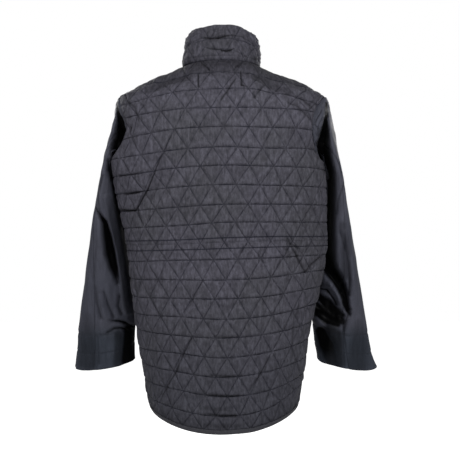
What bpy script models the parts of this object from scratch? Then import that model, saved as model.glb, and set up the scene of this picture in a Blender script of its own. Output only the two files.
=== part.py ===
"""Quilted jacket, filled out and hollow: quilted body and stand collar, plain two-piece sleeves.

Metres, +Z up. The front faces -Y and the wearer's left is +X. The origin is the middle of the neck
opening, level with the collar seam at the centre back.

Each piece of cloth is a closed wall: an outer face, an inner face and the rim between them. The
faces are grids of points worked out row by row from the tables below, and neighbours share the
points and the wall direction of their seam, so that they never cross.
"""
import math

import bmesh
import bpy
import numpy as np

# Cloth walls and seams
QUILTED_WALL = 0.003
SLEEVE_WALL = 0.0014
SEAM_GAP = 0.0003
ARMHOLE_GAP = 0.0006
SHARP_ANGLE = math.radians(40)

# How fine the cloth is faceted
BACK_HALF_COLUMNS = 11
FRONT_COLUMNS = 9
SIDE_ROWS = 10
ARMHOLE_ROWS = 10
SHOULDER_ROWS = 4
COLLAR_ROWS = 4

# Body
ROUNDNESS = 2.3
BINDING_HEIGHT = 0.008

# Rows of the body, from the hem up. Each row runs from the centre of the panel (centre_y, centre_z)
# round to its edge: the side seam up to the underarm, then the armhole, then the shoulder seam.
# turn is the angle the row has turned through at its edge, 90 degrees where it faces the side.
ROW_COLUMNS = ("centre_z", "centre_y", "left_x", "right_x", "edge_y", "edge_z", "turn")
BACK_ROWS = [
    (-0.802, 0.191, 0.170, 0.174, 0.000, -0.772, 90),   # hem
    (-0.703, 0.175, 0.185, 0.189, 0.000, -0.692, 90),
    (-0.600, 0.158, 0.203, 0.204, 0.000, -0.597, 90),   # hip
    (-0.500, 0.142, 0.219, 0.228, 0.000, -0.500, 90),
    (-0.420, 0.133, 0.227, 0.238, 0.000, -0.420, 90),   # waist
    (-0.330, 0.131, 0.243, 0.239, 0.000, -0.330, 90),
    (-0.262, 0.132, 0.253, 0.238, 0.000, -0.264, 90),   # chest
    (-0.222, 0.132, 0.258, 0.230, 0.000, -0.226, 90),   # underarm
    (-0.182, 0.131, 0.236, 0.207, 0.058, -0.190, 70),
    (-0.140, 0.129, 0.230, 0.201, 0.073, -0.145, 62),   # across the back
    (-0.105, 0.124, 0.233, 0.212, 0.055, -0.105, 70),
    (-0.074, 0.115, 0.239, 0.235, 0.000, -0.074, 90),   # shoulder tip
    (-0.038, 0.098, 0.166, 0.161, 0.000, -0.037, 90),
    (0.000, 0.072, 0.090, 0.086, 0.000, -0.004, 90),    # neck seam
]
FRONT_ROWS = [
    (-0.790, -0.182, 0.170, 0.174, 0.000, -0.772, 90),  # hem
    (-0.698, -0.166, 0.185, 0.189, 0.000, -0.692, 90),
    (-0.600, -0.151, 0.203, 0.204, 0.000, -0.597, 90),  # hip
    (-0.500, -0.139, 0.219, 0.228, 0.000, -0.500, 90),
    (-0.420, -0.132, 0.227, 0.238, 0.000, -0.420, 90),  # waist
    (-0.335, -0.131, 0.243, 0.239, 0.000, -0.330, 90),
    (-0.270, -0.130, 0.253, 0.238, 0.000, -0.264, 90),  # chest
    (-0.232, -0.128, 0.258, 0.230, 0.000, -0.226, 90),  # underarm
    (-0.200, -0.126, 0.228, 0.203, -0.060, -0.188, 68),
    (-0.168, -0.122, 0.216, 0.196, -0.076, -0.142, 60),  # across the chest
    (-0.142, -0.117, 0.226, 0.216, -0.057, -0.104, 70),
    (-0.116, -0.110, 0.239, 0.235, 0.000, -0.074, 90),  # shoulder tip
    (-0.080, -0.099, 0.166, 0.161, 0.000, -0.037, 90),
    (-0.045, -0.086, 0.090, 0.086, 0.000, -0.004, 90),  # neck seam
]
UNDERARM_ROW = 7
SHOULDER_TIP_ROW = 11
NECK_ROW = 13

# Collar
COLLAR_HEIGHT = 0.078
COLLAR_TAPER = 0.15
COLLAR_TAPER_POWER = 2.4

# Sections of the sleeves, level ovals from the bicep to the cuff. The empty sleeve hangs flat from
# the shoulder, and tilt turns the back edge of its oval outwards, in degrees.
SLEEVE_COLUMNS = ("height", "left_x", "right_x", "centre_y", "half_x", "half_y", "tilt")
SLEEVE_SECTIONS = [
    (-0.262, 0.252, 0.247, -0.050, 0.024, 0.096, 14),  # bicep
    (-0.360, 0.266, 0.258, -0.054, 0.033, 0.090, 13),
    (-0.460, 0.273, 0.268, -0.058, 0.048, 0.077, 9),   # elbow
    (-0.560, 0.277, 0.275, -0.061, 0.062, 0.059, 4),
    (-0.640, 0.281, 0.287, -0.062, 0.067, 0.042, 0),
    (-0.702, 0.286, 0.298, -0.062, 0.0695, 0.031, 0),  # cuff
]
SLEEVE_TUBE_ROWS = 9
CROWN_STEPS = (0.10, 0.22, 0.38, 0.58, 0.79)
CROWN_CLEARANCE_STEP = 0.25
DIRECTION_SMOOTHINGS = 3
CROWN_REACH = 0.006
CROWN_REACH_SHARE = 0.10
CROWN_ARRIVAL_SHARE = 0.28
CUFF_SLANT = 0.010
CUFF_BACK_DROP = 0.010
BODY_CLEARANCE = 0.004
CLEARANCE_START = -0.176
CLEARANCE_FADE = 0.034
CLEARANCE_SHARPNESS = 50
BODY_SAMPLES = 40

# Seams of the sleeves, as columns counted from the shoulder tip towards the back
HIND_SEAM = {"left": 4, "right": 5}
FORE_SEAM = 13

# Largest folds of the sleeves: soft troughs between two places on the tube. around is the angle
# from the outer side towards the back, along runs from 0 at the armhole to 1 at the cuff. A trough
# deepens from its ends by the sine of its run, to the power FOLD_RISE.
FOLD_RISE = 0.7
FOLD_COLUMNS = ("around_top", "around_end", "along_top", "along_end", "width", "depth")
SLEEVE_FOLDS = {
    "left": [
        (60, 66, 0.00, 0.32, 26, 0.026),
        (60, 92, 0.44, 0.80, 20, 0.014),
    ],
    "right": [
        (60, 72, 0.00, 0.34, 26, 0.032),
        (84, 100, 0.50, 0.84, 20, 0.016),
    ],
}

# Zip, closed to the top of the collar
ZIP_OPENING_HALF = 0.006
TAPE_INNER_X = 0.0031
TAPE_OUTER_X = 0.016
TAPE_THICKNESS = 0.0008
TAPE_CLEARANCE = 0.0004
CHAIN_HALF_WIDTH = 0.0028
CHAIN_THICKNESS = 0.0018
ZIP_BOX_SIZE = (0.0056, 0.0030, 0.0075)
SLIDER_LENGTH = 0.013
SLIDER_WIDTH = 0.010
SLIDER_PLATE = 0.001
SLIDER_PLAY = 0.0003
SLIDER_POST = (0.0024, 0.004)
POST_INSET = 0.0005
CHAIN_TO_POST = 0.0005
SLIDER_FROM_TOP = 0.0085
BRIDGE_HALF_LENGTH = 0.0035
BRIDGE_BAR = 0.001
BRIDGE_WIDTH = 0.002
BRIDGE_HEIGHT = 0.0034
PULL_LENGTH = 0.030
PULL_WIDTH = 0.008
PULL_THICKNESS = 0.0014
PULL_SLOT = (0.0036, 0.0047)
PULL_EDGE = 0.0003

COLLECTION = "quilted_jacket"


def new_collection(name):
    collection = bpy.data.collections.new(name)
    bpy.context.scene.collection.children.link(collection)
    return collection


def material(name, colour, roughness, metallic=0.0):
    made = bpy.data.materials.new(name)
    made.use_nodes = True
    shader = made.node_tree.nodes["Principled BSDF"]
    shader.inputs["Base Color"].default_value = (*colour, 1.0)
    shader.inputs["Roughness"].default_value = roughness
    shader.inputs["Metallic"].default_value = metallic
    made.diffuse_color = (*colour, 1.0)
    return made


def columns(names, rows):
    """A table as one array for each named column."""
    return dict(zip(names, np.array(rows, dtype=float).T))


def smooth(values, at, corners=(), level=()):
    """Cubic curve through values at 0, 1, 2 and so on, read at the places in at. It may turn
    sharply at the corners, and it leaves each corner in level, a pair of the corner and the side
    of it, with no slope."""
    values = np.asarray(values, dtype=float)
    last = len(values) - 1
    at = np.atleast_1d(np.asarray(at, dtype=float))
    low = np.clip(np.floor(at).astype(int), 0, last - 1)
    part = at - low

    def slope(index, towards):
        inner = (index > 0) & (index < last) & ~np.isin(index, corners)
        before = values[np.clip(index - 1, 0, last)]
        after = values[np.clip(index + 1, 0, last)]
        one_sided = towards * (values[np.clip(index + towards, 0, last)] - values[index])
        for corner, side in level:
            if side == towards:
                one_sided = np.where(index == corner, 0, one_sided)
        return np.where(inner, (after - before) / 2, one_sided)

    start_slope = slope(low, 1)
    end_slope = slope(low + 1, -1)
    return (
        (2 * part**3 - 3 * part**2 + 1) * values[low]
        + (part**3 - 2 * part**2 + part) * start_slope
        + (3 * part**2 - 2 * part**3) * values[low + 1]
        + (part**3 - part**2) * end_slope
    )


def unit(vectors):
    lengths = np.linalg.norm(vectors, axis=-1, keepdims=True)
    return vectors / np.maximum(lengths, 1e-12)


def grid_normals(grid, cyclic=False):
    """Unit normals of a grid of points, from the directions along its rows and its columns."""
    down = np.gradient(grid, axis=0)
    if cyclic:
        along = (np.roll(grid, -1, axis=1) - np.roll(grid, 1, axis=1)) / 2
    else:
        along = np.gradient(grid, axis=1)
    return unit(np.cross(along, down))


def facing_out(normals, points, middle=0.0):
    """The normals, all turned over where most of them point at the middle."""
    outside = np.sum((normals * (points - middle))[..., :2]) > 0
    return normals if outside else -normals


def across_zip(vectors):
    """Unit vectors in the plane of the zip, with their sideways part left out."""
    return unit(vectors * np.array([0.0, 1.0, 1.0]))


def body_places():
    """Row numbers of the body's grid, finer or coarser in each of its three stretches."""
    side = np.linspace(0, UNDERARM_ROW, SIDE_ROWS + 1)
    armhole = np.linspace(UNDERARM_ROW, SHOULDER_TIP_ROW, ARMHOLE_ROWS + 1)
    shoulder = np.linspace(SHOULDER_TIP_ROW, NECK_ROW, SHOULDER_ROWS + 1)
    return np.concatenate([side, armhole[1:], shoulder[1:]])


def row_values(table, places):
    """The table's columns read at the row numbers in places. The edge turns a corner at either end
    of the armhole, which is round there itself."""
    data = columns(ROW_COLUMNS, table)
    corners = (UNDERARM_ROW, SHOULDER_TIP_ROW)
    round_ends = ((UNDERARM_ROW, 1), (SHOULDER_TIP_ROW, -1))
    values = {}
    for name, column in data.items():
        if name in ("centre_z", "centre_y"):
            values[name] = smooth(column, places)
        elif name in ("edge_y", "turn"):
            values[name] = smooth(column, places, corners)
        else:
            values[name] = smooth(column, places, corners, round_ends)
    return values


def body_face(table, places, side, across):
    """Outer points of half a panel. across runs from 0 at its centre to 1 at its edge: a
    superellipse quarter, stretched to reach the edge of each row."""
    row = row_values(table, places)
    edge_x = row[side + "_x"][:, None]
    edge_y = row["edge_y"][:, None]
    centre_y = row["centre_y"][:, None]
    centre_z = row["centre_z"][:, None]
    edge_z = row["edge_z"][:, None]
    turn = np.radians(row["turn"])[:, None]
    power = 2 / ROUNDNESS
    angle = turn * across[None, :]
    reach = (np.sin(angle) / np.sin(turn)) ** power
    end_fall = np.maximum(np.cos(turn), 0) ** power
    fall = (np.maximum(np.cos(angle), 0) ** power - end_fall) / (1 - end_fall)
    sign = 1 if side == "left" else -1
    x = sign * edge_x * reach
    y = edge_y + (centre_y - edge_y) * fall
    z = centre_z + (edge_z - centre_z) * reach**2
    return np.stack([x, y, z], axis=-1)


def body_faces():
    """Outer grids of the back and the two fronts, all seen from outside with columns running from
    the wearer's right to the left on the back, and from the side to the centre on the fronts."""
    places = body_places()
    half = np.linspace(0, 1, BACK_HALF_COLUMNS + 1)
    back_left = body_face(BACK_ROWS, places, "left", half)
    back_right = body_face(BACK_ROWS, places, "right", half)
    back = np.concatenate([back_right[:, :0:-1], back_left], axis=1)
    faces = {"back": back}
    across = np.linspace(0, 1, FRONT_COLUMNS + 1)
    for side, sign in (("left", 1), ("right", -1)):
        front = body_face(FRONT_ROWS, places, side, across)
        reach = np.abs(front[:, :, 0])
        widest = reach.max(axis=1, keepdims=True)
        opened = ZIP_OPENING_HALF + reach * (widest - ZIP_OPENING_HALF) / widest
        front[:, :, 0] = sign * opened
        faces["front_" + side] = front
    return faces


def body_directions(faces):
    """Outward directions of the three panels. Seams take the mean of the panels that meet."""
    out = {name: facing_out(grid_normals(face), face) for name, face in faces.items()}
    sewn = [row for row in range(len(faces["back"])) if not in_armhole(row)]
    for side, column in (("left", -1), ("right", 0)):
        front = out["front_" + side]
        mean = unit(out["back"][sewn, column] + front[sewn, -1])
        out["back"][sewn, column] = mean
        front[sewn, -1] = mean
    return out


def in_armhole(row):
    return SIDE_ROWS < row < SIDE_ROWS + ARMHOLE_ROWS


def draw_back(grid, edges):
    """Moves the named edges of a grid half a seam gap towards their neighbours."""
    moved = grid.copy()
    steps = {
        "first_column": (np.s_[:, 0], np.s_[:, 1]),
        "last_column": (np.s_[:, -1], np.s_[:, -2]),
        "first_row": (np.s_[0], np.s_[1]),
        "last_row": (np.s_[-1], np.s_[-2]),
    }
    for edge in edges:
        here, neighbour = steps[edge]
        moved[here] = moved[here] + SEAM_GAP / 2 * unit(moved[neighbour] - moved[here])
    return moved


def split_squares(grid, index):
    """Triangles of a grid, each square cut along its shorter diagonal."""
    corners = [index[:-1, :-1], index[:-1, 1:], index[1:, 1:], index[1:, :-1]]
    a, b, c, d = (corner.ravel() for corner in corners)
    points = grid.reshape(-1, 3)
    first = np.linalg.norm(points[a] - points[c], axis=1)
    second = np.linalg.norm(points[b] - points[d], axis=1)
    short = (first <= second)[:, None]
    one = np.where(short, np.stack([a, b, c], axis=1), np.stack([a, b, d], axis=1))
    other = np.where(short, np.stack([a, c, d], axis=1), np.stack([b, c, d], axis=1))
    return np.concatenate([one, other])


def wall_mesh(name, outer, inner):
    """A closed wall between two grids of the same size, both cut along the same diagonals."""
    rows, cols = outer.shape[:2]
    count = rows * cols
    index = np.arange(count).reshape(rows, cols)
    front = split_squares(outer, index)
    behind = front[:, ::-1] + count
    border = np.concatenate([index[0, :-1], index[:-1, -1], index[-1, :0:-1], index[:0:-1, 0]])
    following = np.roll(border, -1)
    rim = np.concatenate([
        np.stack([following, border, border + count], axis=1),
        np.stack([following, border + count, following + count], axis=1),
    ])
    mesh = bpy.data.meshes.new(name)
    points = np.concatenate([outer.reshape(-1, 3), inner.reshape(-1, 3)])
    mesh.from_pydata(points.tolist(), [], np.concatenate([front, behind, rim]).tolist())
    shape = bmesh.new()
    shape.from_mesh(mesh)
    bmesh.ops.recalc_face_normals(shape, faces=shape.faces)
    shape.to_mesh(mesh)
    shape.free()
    mesh.update()
    mesh.shade_smooth()
    mesh.set_sharp_from_angle(angle=SHARP_ANGLE)
    return mesh


def place(name, mesh, finish, collection, parent=None):
    piece = bpy.data.objects.new(name, mesh)
    collection.objects.link(piece)
    mesh.materials.append(finish)
    piece.parent = parent
    return piece


def cloth(name, outer, inward, thickness, edges, finish, collection):
    """A piece of cloth on its outer points. inward points from each of them to the inner face."""
    front = draw_back(outer, edges)
    behind = draw_back(outer + inward * thickness, edges)
    return place(name, wall_mesh(name, front, behind), finish, collection)


def build_panels(faces, directions, finish, collection):
    edges = {
        "back": ("first_column", "last_column", "first_row", "last_row"),
        "front_left": ("last_column", "first_row", "last_row"),
        "front_right": ("last_column", "first_row", "last_row"),
    }
    for name, face in faces.items():
        cloth(name, face, -directions[name], QUILTED_WALL, edges[name], finish, collection)


def build_bindings(faces, directions, finish, collection):
    """The bound hem: each panel's lowest points, carried down along the cloth."""
    for name, face in faces.items():
        down = unit(face[0] - face[1])
        strip = np.stack([face[0], face[0] + BINDING_HEIGHT * down])
        inward = -np.stack([directions[name][0]] * 2)
        edges = ["last_column", "first_row"]
        if name == "back":
            edges.append("first_column")
        cloth("hem_binding_" + name, strip, inward, QUILTED_WALL, edges, finish, collection)


def collar_faces(faces, directions):
    """Outer points and outward directions of the collar, from the wearer's right front edge round
    the back to the left one. Each row is the neck seam, drawn in and lifted."""
    seam = np.concatenate([
        faces["front_right"][-1],
        faces["back"][-1][1:-1],
        faces["front_left"][-1][::-1],
    ])
    rise = np.linspace(0, 1, COLLAR_ROWS + 1)[:, None]
    draw_in = 1 - COLLAR_TAPER * rise**COLLAR_TAPER_POWER
    reach = np.abs(seam[:, 0])
    held = np.minimum(reach, ZIP_OPENING_HALF)
    x = np.sign(seam[:, 0]) * (held + (reach - held) * draw_in)
    y = seam[:, 1] * draw_in
    z = seam[:, 2] + COLLAR_HEIGHT * rise
    outer = np.stack([x, y, z], axis=-1)
    out = facing_out(grid_normals(outer), outer)
    out[0] = unit(out[0] * np.array([1.0, 1.0, 0.0]))
    return outer, out


def build_collar(outer, out, finish, collection):
    lifted = outer.copy()
    lifted[0, :, 2] += SEAM_GAP / 2
    cloth("collar", lifted, -out, QUILTED_WALL, ("first_row",), finish, collection)


def body_half_sizes(side, height):
    """Half width and the back and front depths of the body at each height."""
    places = np.linspace(0, UNDERARM_ROW, BODY_SAMPLES)
    back = row_values(BACK_ROWS, places)
    front = row_values(FRONT_ROWS, places)
    wide = np.interp(height, back["edge_z"], back[side + "_x"])
    behind = np.interp(height, back["centre_z"], back["centre_y"])
    ahead = np.interp(height, front["centre_z"], -front["centre_y"])
    return wide, behind, ahead


def clear_of_body(points, side):
    """Moves the points out from the body's axis until they pass its side: cloth on cloth."""
    x, y, z = np.moveaxis(points, -1, 0)
    wide, behind, ahead = body_half_sizes(side, z)
    below = np.clip((CLEARANCE_START - z) / CLEARANCE_FADE, 0, 1)
    gap = BODY_CLEARANCE * below
    deep = np.where(y > 0, behind, ahead)
    reach = np.abs(x / (wide + gap)) ** ROUNDNESS + np.abs(y / (deep + gap)) ** ROUNDNESS
    reach = reach ** (1 / ROUNDNESS)
    passed = (1 + reach**CLEARANCE_SHARPNESS) ** (1 / CLEARANCE_SHARPNESS) / reach
    scale = 1 + (passed - 1) * below
    return np.stack([x * scale, y * scale, z], axis=-1)


def sleeve_section(side, places, angle):
    """Level ovals of the sleeve at the table's row numbers in places. angle is 0 at the outer
    side and runs towards the back."""
    data = columns(SLEEVE_COLUMNS, SLEEVE_SECTIONS)
    row = {name: smooth(column, places)[:, None] for name, column in data.items()}
    sign = 1 if side == "left" else -1
    outward = np.cos(angle)[None, :]
    back = row["half_y"] * np.sin(angle)[None, :]
    out = row["half_x"] * outward
    tilt = np.radians(row["tilt"])
    x = row[side + "_x"] + out * np.cos(tilt) + back * np.sin(tilt)
    y = row["centre_y"] + back * np.cos(tilt) - out * np.sin(tilt)
    cut = CUFF_SLANT * outward + CUFF_BACK_DROP * np.sin(angle)[None, :]
    z = row["height"] - cut * (places / (len(SLEEVE_SECTIONS) - 1))[:, None] ** 3
    return clear_of_body(np.stack([sign * x, y, z], axis=-1), side)


def sink_folds(points, side, angle):
    """Presses the table's folds forwards into the back of the tube."""
    data = columns(FOLD_COLUMNS, SLEEVE_FOLDS[side])
    along = np.linspace(0, 1, len(points))[:, None]
    degrees = np.degrees(angle)[None, :]
    pressed = points.copy()
    for fold in range(len(data["depth"])):
        start = data["along_top"][fold]
        part = np.clip((along - start) / (data["along_end"][fold] - start), 0, 1)
        turned = data["around_end"][fold] - data["around_top"][fold]
        across = (degrees - data["around_top"][fold] - turned * part) / data["width"][fold]
        depth = data["depth"][fold] * np.sin(np.pi * part) ** FOLD_RISE
        pressed[:, :, 1] -= depth * np.exp(-across**2)
    return pressed


def armhole_ring(faces, directions, side):
    """Edge of the armhole as a ring of points from the shoulder tip down the back and up the front,
    and the direction in which the body's cloth ends at each of them."""
    rows = np.arange(SIDE_ROWS, SIDE_ROWS + ARMHOLE_ROWS + 1)
    column = -1 if side == "left" else 0
    front = "front_" + side
    behind = faces["back"][rows, column][::-1]
    ahead = faces[front][rows, -1][1:-1]
    ring = np.concatenate([behind, ahead])
    inward = -np.concatenate([
        directions["back"][rows, column][::-1],
        directions[front][rows, -1][1:-1],
    ])
    along = np.roll(ring, -1, axis=0) - np.roll(ring, 1, axis=0)
    leaving = unit(np.cross(along, inward))
    sign = 1 if side == "left" else -1
    flip = np.where(np.sum(leaving[:, 0]) * sign > 0, 1, -1)
    return ring, leaving * flip


def sleeve_faces(faces, directions, side):
    """Outer points of a sleeve and the directions into its wall. The crown blends from the armhole
    to the bicep's oval, and the tube below follows the table."""
    ring, leaving = armhole_ring(faces, directions, side)
    angle = np.arange(len(ring)) * 2 * math.pi / len(ring)
    last = len(SLEEVE_SECTIONS) - 1
    tube = sleeve_section(side, np.linspace(0, last, SLEEVE_TUBE_ROWS + 1), angle)
    sign = 1 if side == "left" else -1
    start = ring + ARMHOLE_GAP * leaving
    onward = np.stack([leaving[:, 0] + sign, leaving[:, 1], np.minimum(leaving[:, 2], 0)], axis=-1)
    drop = np.linalg.norm(tube[0] - start, axis=-1, keepdims=True)
    bend = start + (CROWN_REACH + CROWN_REACH_SHARE * drop) * unit(onward)
    arrival = tube[0] - CROWN_ARRIVAL_SHARE * drop * unit(tube[1] - tube[0])
    crown = [start]
    for step in CROWN_STEPS:
        rest = 1 - step
        arc = rest**3 * start + 3 * rest**2 * step * bend
        arc = arc + 3 * rest * step**2 * arrival + step**3 * tube[0]
        passed = clear_of_body(arc, side)
        crown.append(arc + (passed - arc) * min(1, step / CROWN_CLEARANCE_STEP))
    outer = sink_folds(np.concatenate([np.array(crown), tube]), side, angle)
    outer[0] = start
    middle = outer.mean(axis=1, keepdims=True)
    inward = -facing_out(grid_normals(outer, cyclic=True), outer, middle)
    into_body = np.minimum(np.sum(inward[0] * leaving, axis=-1, keepdims=True), 0)
    inward[0] = unit(inward[0] - into_body * leaving)
    for smoothing in range(DIRECTION_SMOOTHINGS):
        inward[1:-1] = unit(inward[:-2] + 2 * inward[1:-1] + inward[2:])
    return outer, inward


def build_sleeves(faces, directions, finish, collection):
    half_gap = SEAM_GAP / 2
    for side in ("left", "right"):
        outer, inward = sleeve_faces(faces, directions, side)
        inner = outer + inward * SLEEVE_WALL
        around = unit(np.roll(outer, -1, axis=1) - np.roll(outer, 1, axis=1))
        count = outer.shape[1]
        hind = HIND_SEAM[side]
        pieces = {
            "sleeve_under_" + side: np.arange(hind, FORE_SEAM + 1),
            "sleeve_upper_" + side: np.arange(FORE_SEAM, count + hind + 1) % count,
        }
        for name, picked in pieces.items():
            walls = []
            for face in (outer, inner):
                cut = face[:, picked].copy()
                cut[:, 0] += half_gap * around[:, picked[0]]
                cut[:, -1] -= half_gap * around[:, picked[-1]]
                walls.append(cut)
            place(name, wall_mesh(name, *walls), finish, collection)


def front_edges(faces, directions, collar_outer, collar_out, side):
    """The two columns of points nearest the zip, up the front and then the collar, on the inner
    face of the wall, and their outward directions."""
    column = -1 if side == "left" else 0
    step = -1 if side == "left" else 1
    front = "front_" + side
    collar_rows = np.s_[1:, [column, column + step]]
    edge = np.concatenate([faces[front][:, :2], collar_outer[collar_rows]])
    out = np.concatenate([directions[front][:, :2], collar_out[collar_rows]])
    return edge - out * QUILTED_WALL, out


def zip_line(edge, out):
    """The middle of the zip, just behind the front edge, and its outward directions."""
    outward = across_zip(out[:, 0])
    line = edge[:, 0] - outward * (TAPE_CLEARANCE + TAPE_THICKNESS / 2)
    line[:, 0] = 0
    return line, outward


def build_tape(name, edge, out, finish, collection):
    """A tape behind the front edge, on the two columns of points of the cloth that covers it."""
    near, far = edge[:, 0], edge[:, 1]
    span = np.abs(far[:, :1]) - np.abs(near[:, :1])
    places = []
    for x in (TAPE_INNER_X, TAPE_OUTER_X):
        part = (x - np.abs(near[:, :1])) / span
        places.append(near + (far - near) * part)
    behind_cloth = np.stack(places, axis=1)
    outward = across_zip(out[:, :1])
    outer_face = behind_cloth - outward * TAPE_CLEARANCE
    inner_face = outer_face - outward * TAPE_THICKNESS
    place(name, wall_mesh(name, outer_face, inner_face), finish, collection)


def build_chain(line, out, finish, collection):
    """The closed teeth, as one strip along the middle of the zip."""
    sides = np.array([[-CHAIN_HALF_WIDTH, 0, 0], [CHAIN_HALF_WIDTH, 0, 0]])
    depth = out[:, None] * CHAIN_THICKNESS / 2
    middle = line[:, None] + sides[None]
    mesh = wall_mesh("zip_chain", middle + depth, middle - depth)
    place("zip_chain", mesh, finish, collection)


def box(name, size, centre, collection):
    shape = bmesh.new()
    bmesh.ops.create_cube(shape, size=1)
    bmesh.ops.scale(shape, vec=size, verts=shape.verts)
    bmesh.ops.translate(shape, vec=centre, verts=shape.verts)
    mesh = bpy.data.meshes.new(name)
    shape.to_mesh(mesh)
    shape.free()
    made = bpy.data.objects.new(name, mesh)
    collection.objects.link(made)
    return made


def boolean(piece, tool, operation):
    tool.hide_render = True
    tool.display_type = "WIRE"
    tool.parent = piece.parent
    change = piece.modifiers.new(tool.name, "BOOLEAN")
    change.operation = operation
    change.object = tool


def build_slider(holder, finish, collection, cutters):
    """Two plates and the post that joins them, with a bridge on the front plate. Local -Y is out
    of the garment and local Z runs up along the zip."""
    inner = CHAIN_THICKNESS / 2 + SLIDER_PLAY
    plate_y = inner + SLIDER_PLATE / 2
    front_y = inner + SLIDER_PLATE
    plate = (SLIDER_WIDTH, SLIDER_PLATE, SLIDER_LENGTH)
    slider = box("zip_slider", plate, (0, -plate_y, 0), collection)
    slider.parent = holder
    slider.data.materials.append(finish)
    back_plate = box("slider_back_plate", plate, (0, plate_y, 0), cutters)
    post_width, post_length = SLIDER_POST
    post_z = SLIDER_LENGTH / 2 - POST_INSET - post_length / 2
    post_size = (post_width, 2 * plate_y, post_length)
    post = box("slider_post", post_size, (0, 0, post_z), cutters)
    arch_depth = BRIDGE_HEIGHT + SLIDER_PLATE / 2
    arch_y = -(front_y + BRIDGE_HEIGHT) + arch_depth / 2
    arch = box("slider_bridge", (BRIDGE_WIDTH, arch_depth, 2 * BRIDGE_HALF_LENGTH),
               (0, arch_y, 0), cutters)
    hole_depth = BRIDGE_HEIGHT - BRIDGE_BAR
    hole = box("slider_bridge_hole",
               (2 * BRIDGE_WIDTH, hole_depth, 2 * (BRIDGE_HALF_LENGTH - BRIDGE_BAR)),
               (0, -(front_y + hole_depth / 2), 0), cutters)
    boolean(slider, back_plate, "UNION")
    boolean(slider, post, "UNION")
    boolean(slider, arch, "UNION")
    boolean(slider, hole, "DIFFERENCE")


def build_pull(holder, finish, collection, cutters):
    """The pull tab: a plate with a slot, whose top bar turns under the slider's bridge. Its origin
    is the axis of that bar."""
    slot_width, slot_length = PULL_SLOT
    bar_half = PULL_THICKNESS / 2
    pull = box("zip_pull", (PULL_WIDTH, PULL_THICKNESS, PULL_LENGTH),
               (0, 0, bar_half - PULL_LENGTH / 2), collection)
    pull.parent = holder
    pull.location = (0, -pull_axis_depth(), 0)
    pull.data.materials.append(finish)
    slot = box("pull_slot", (slot_width, 3 * PULL_THICKNESS, slot_length),
               (0, 0, -bar_half - slot_length / 2), cutters)
    slot.location = pull.location
    boolean(pull, slot, "DIFFERENCE")
    rounded = pull.modifiers.new("rounded_edges", "BEVEL")
    rounded.width = PULL_EDGE
    rounded.segments = 1
    rounded.limit_method = "ANGLE"


def pull_axis_depth():
    """How far the pull's axis lies in front of the zip line."""
    plate_face = CHAIN_THICKNESS / 2 + SLIDER_PLAY + SLIDER_PLATE
    return plate_face + (BRIDGE_HEIGHT - BRIDGE_BAR) / 2


def point_along(line, distance_from_top):
    """Place on the zip line, measured down from its top."""
    top, below = line[-1], line[-2]
    return top + unit(below - top) * distance_from_top


def zip_holder(name, position, up, collection):
    """An empty on the zip line, whose Z axis runs up along it."""
    holder = bpy.data.objects.new(name, None)
    collection.objects.link(holder)
    holder.location = position.tolist()
    holder.rotation_euler = (-math.atan2(up[1], up[2]), 0, 0)
    return holder


def build_zip(line, out, finishes, collection, cutters):
    box_height = ZIP_BOX_SIZE[2]
    up = unit(line[1] - line[0])
    chain = line.copy()
    chain[0] = line[0] + up * (box_height + SEAM_GAP)
    slider_at = point_along(line, SLIDER_FROM_TOP)
    collar_up = unit(line[-1] - line[-2])
    post_foot = SLIDER_LENGTH / 2 - POST_INSET - SLIDER_POST[1]
    chain[-1] = slider_at + collar_up * (post_foot - CHAIN_TO_POST)
    build_chain(chain, out, finishes["teeth"], collection)
    foot = zip_holder("zip_foot", line[0] + up * box_height / 2, up, collection)
    zip_box = box("zip_box", ZIP_BOX_SIZE, (0, 0, 0), collection)
    zip_box.parent = foot
    zip_box.data.materials.append(finishes["metal"])
    head = zip_holder("zip_head", slider_at, collar_up, collection)
    build_slider(head, finishes["metal"], collection, cutters)
    build_pull(head, finishes["metal"], collection, cutters)


def main():
    for old in list(bpy.data.objects):
        bpy.data.objects.remove(old, do_unlink=True)
    collection = new_collection(COLLECTION)
    cutters = new_collection("cutters")
    finishes = {
        "quilted": material("quilted_cloth", (0.062, 0.060, 0.074), 0.55),
        "plain": material("plain_cloth", (0.030, 0.033, 0.042), 0.6),
        "binding": material("binding", (0.045, 0.045, 0.055), 0.6),
        "tape": material("zip_tape", (0.02, 0.02, 0.025), 0.8),
        "teeth": material("zip_teeth", (0.03, 0.03, 0.035), 0.45),
        "metal": material("zip_metal", (0.10, 0.10, 0.11), 0.35, 0.9),
    }
    faces = body_faces()
    directions = body_directions(faces)
    build_panels(faces, directions, finishes["quilted"], collection)
    build_bindings(faces, directions, finishes["binding"], collection)
    collar_outer, collar_out = collar_faces(faces, directions)
    build_collar(collar_outer, collar_out, finishes["quilted"], collection)
    build_sleeves(faces, directions, finishes["plain"], collection)
    for side in ("left", "right"):
        edge, out = front_edges(faces, directions, collar_outer, collar_out, side)
        build_tape("zip_tape_" + side, edge, out, finishes["tape"], collection)
    line, outward = zip_line(edge, out)
    build_zip(line, outward, finishes, collection, cutters)


main()
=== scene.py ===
import math

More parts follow.
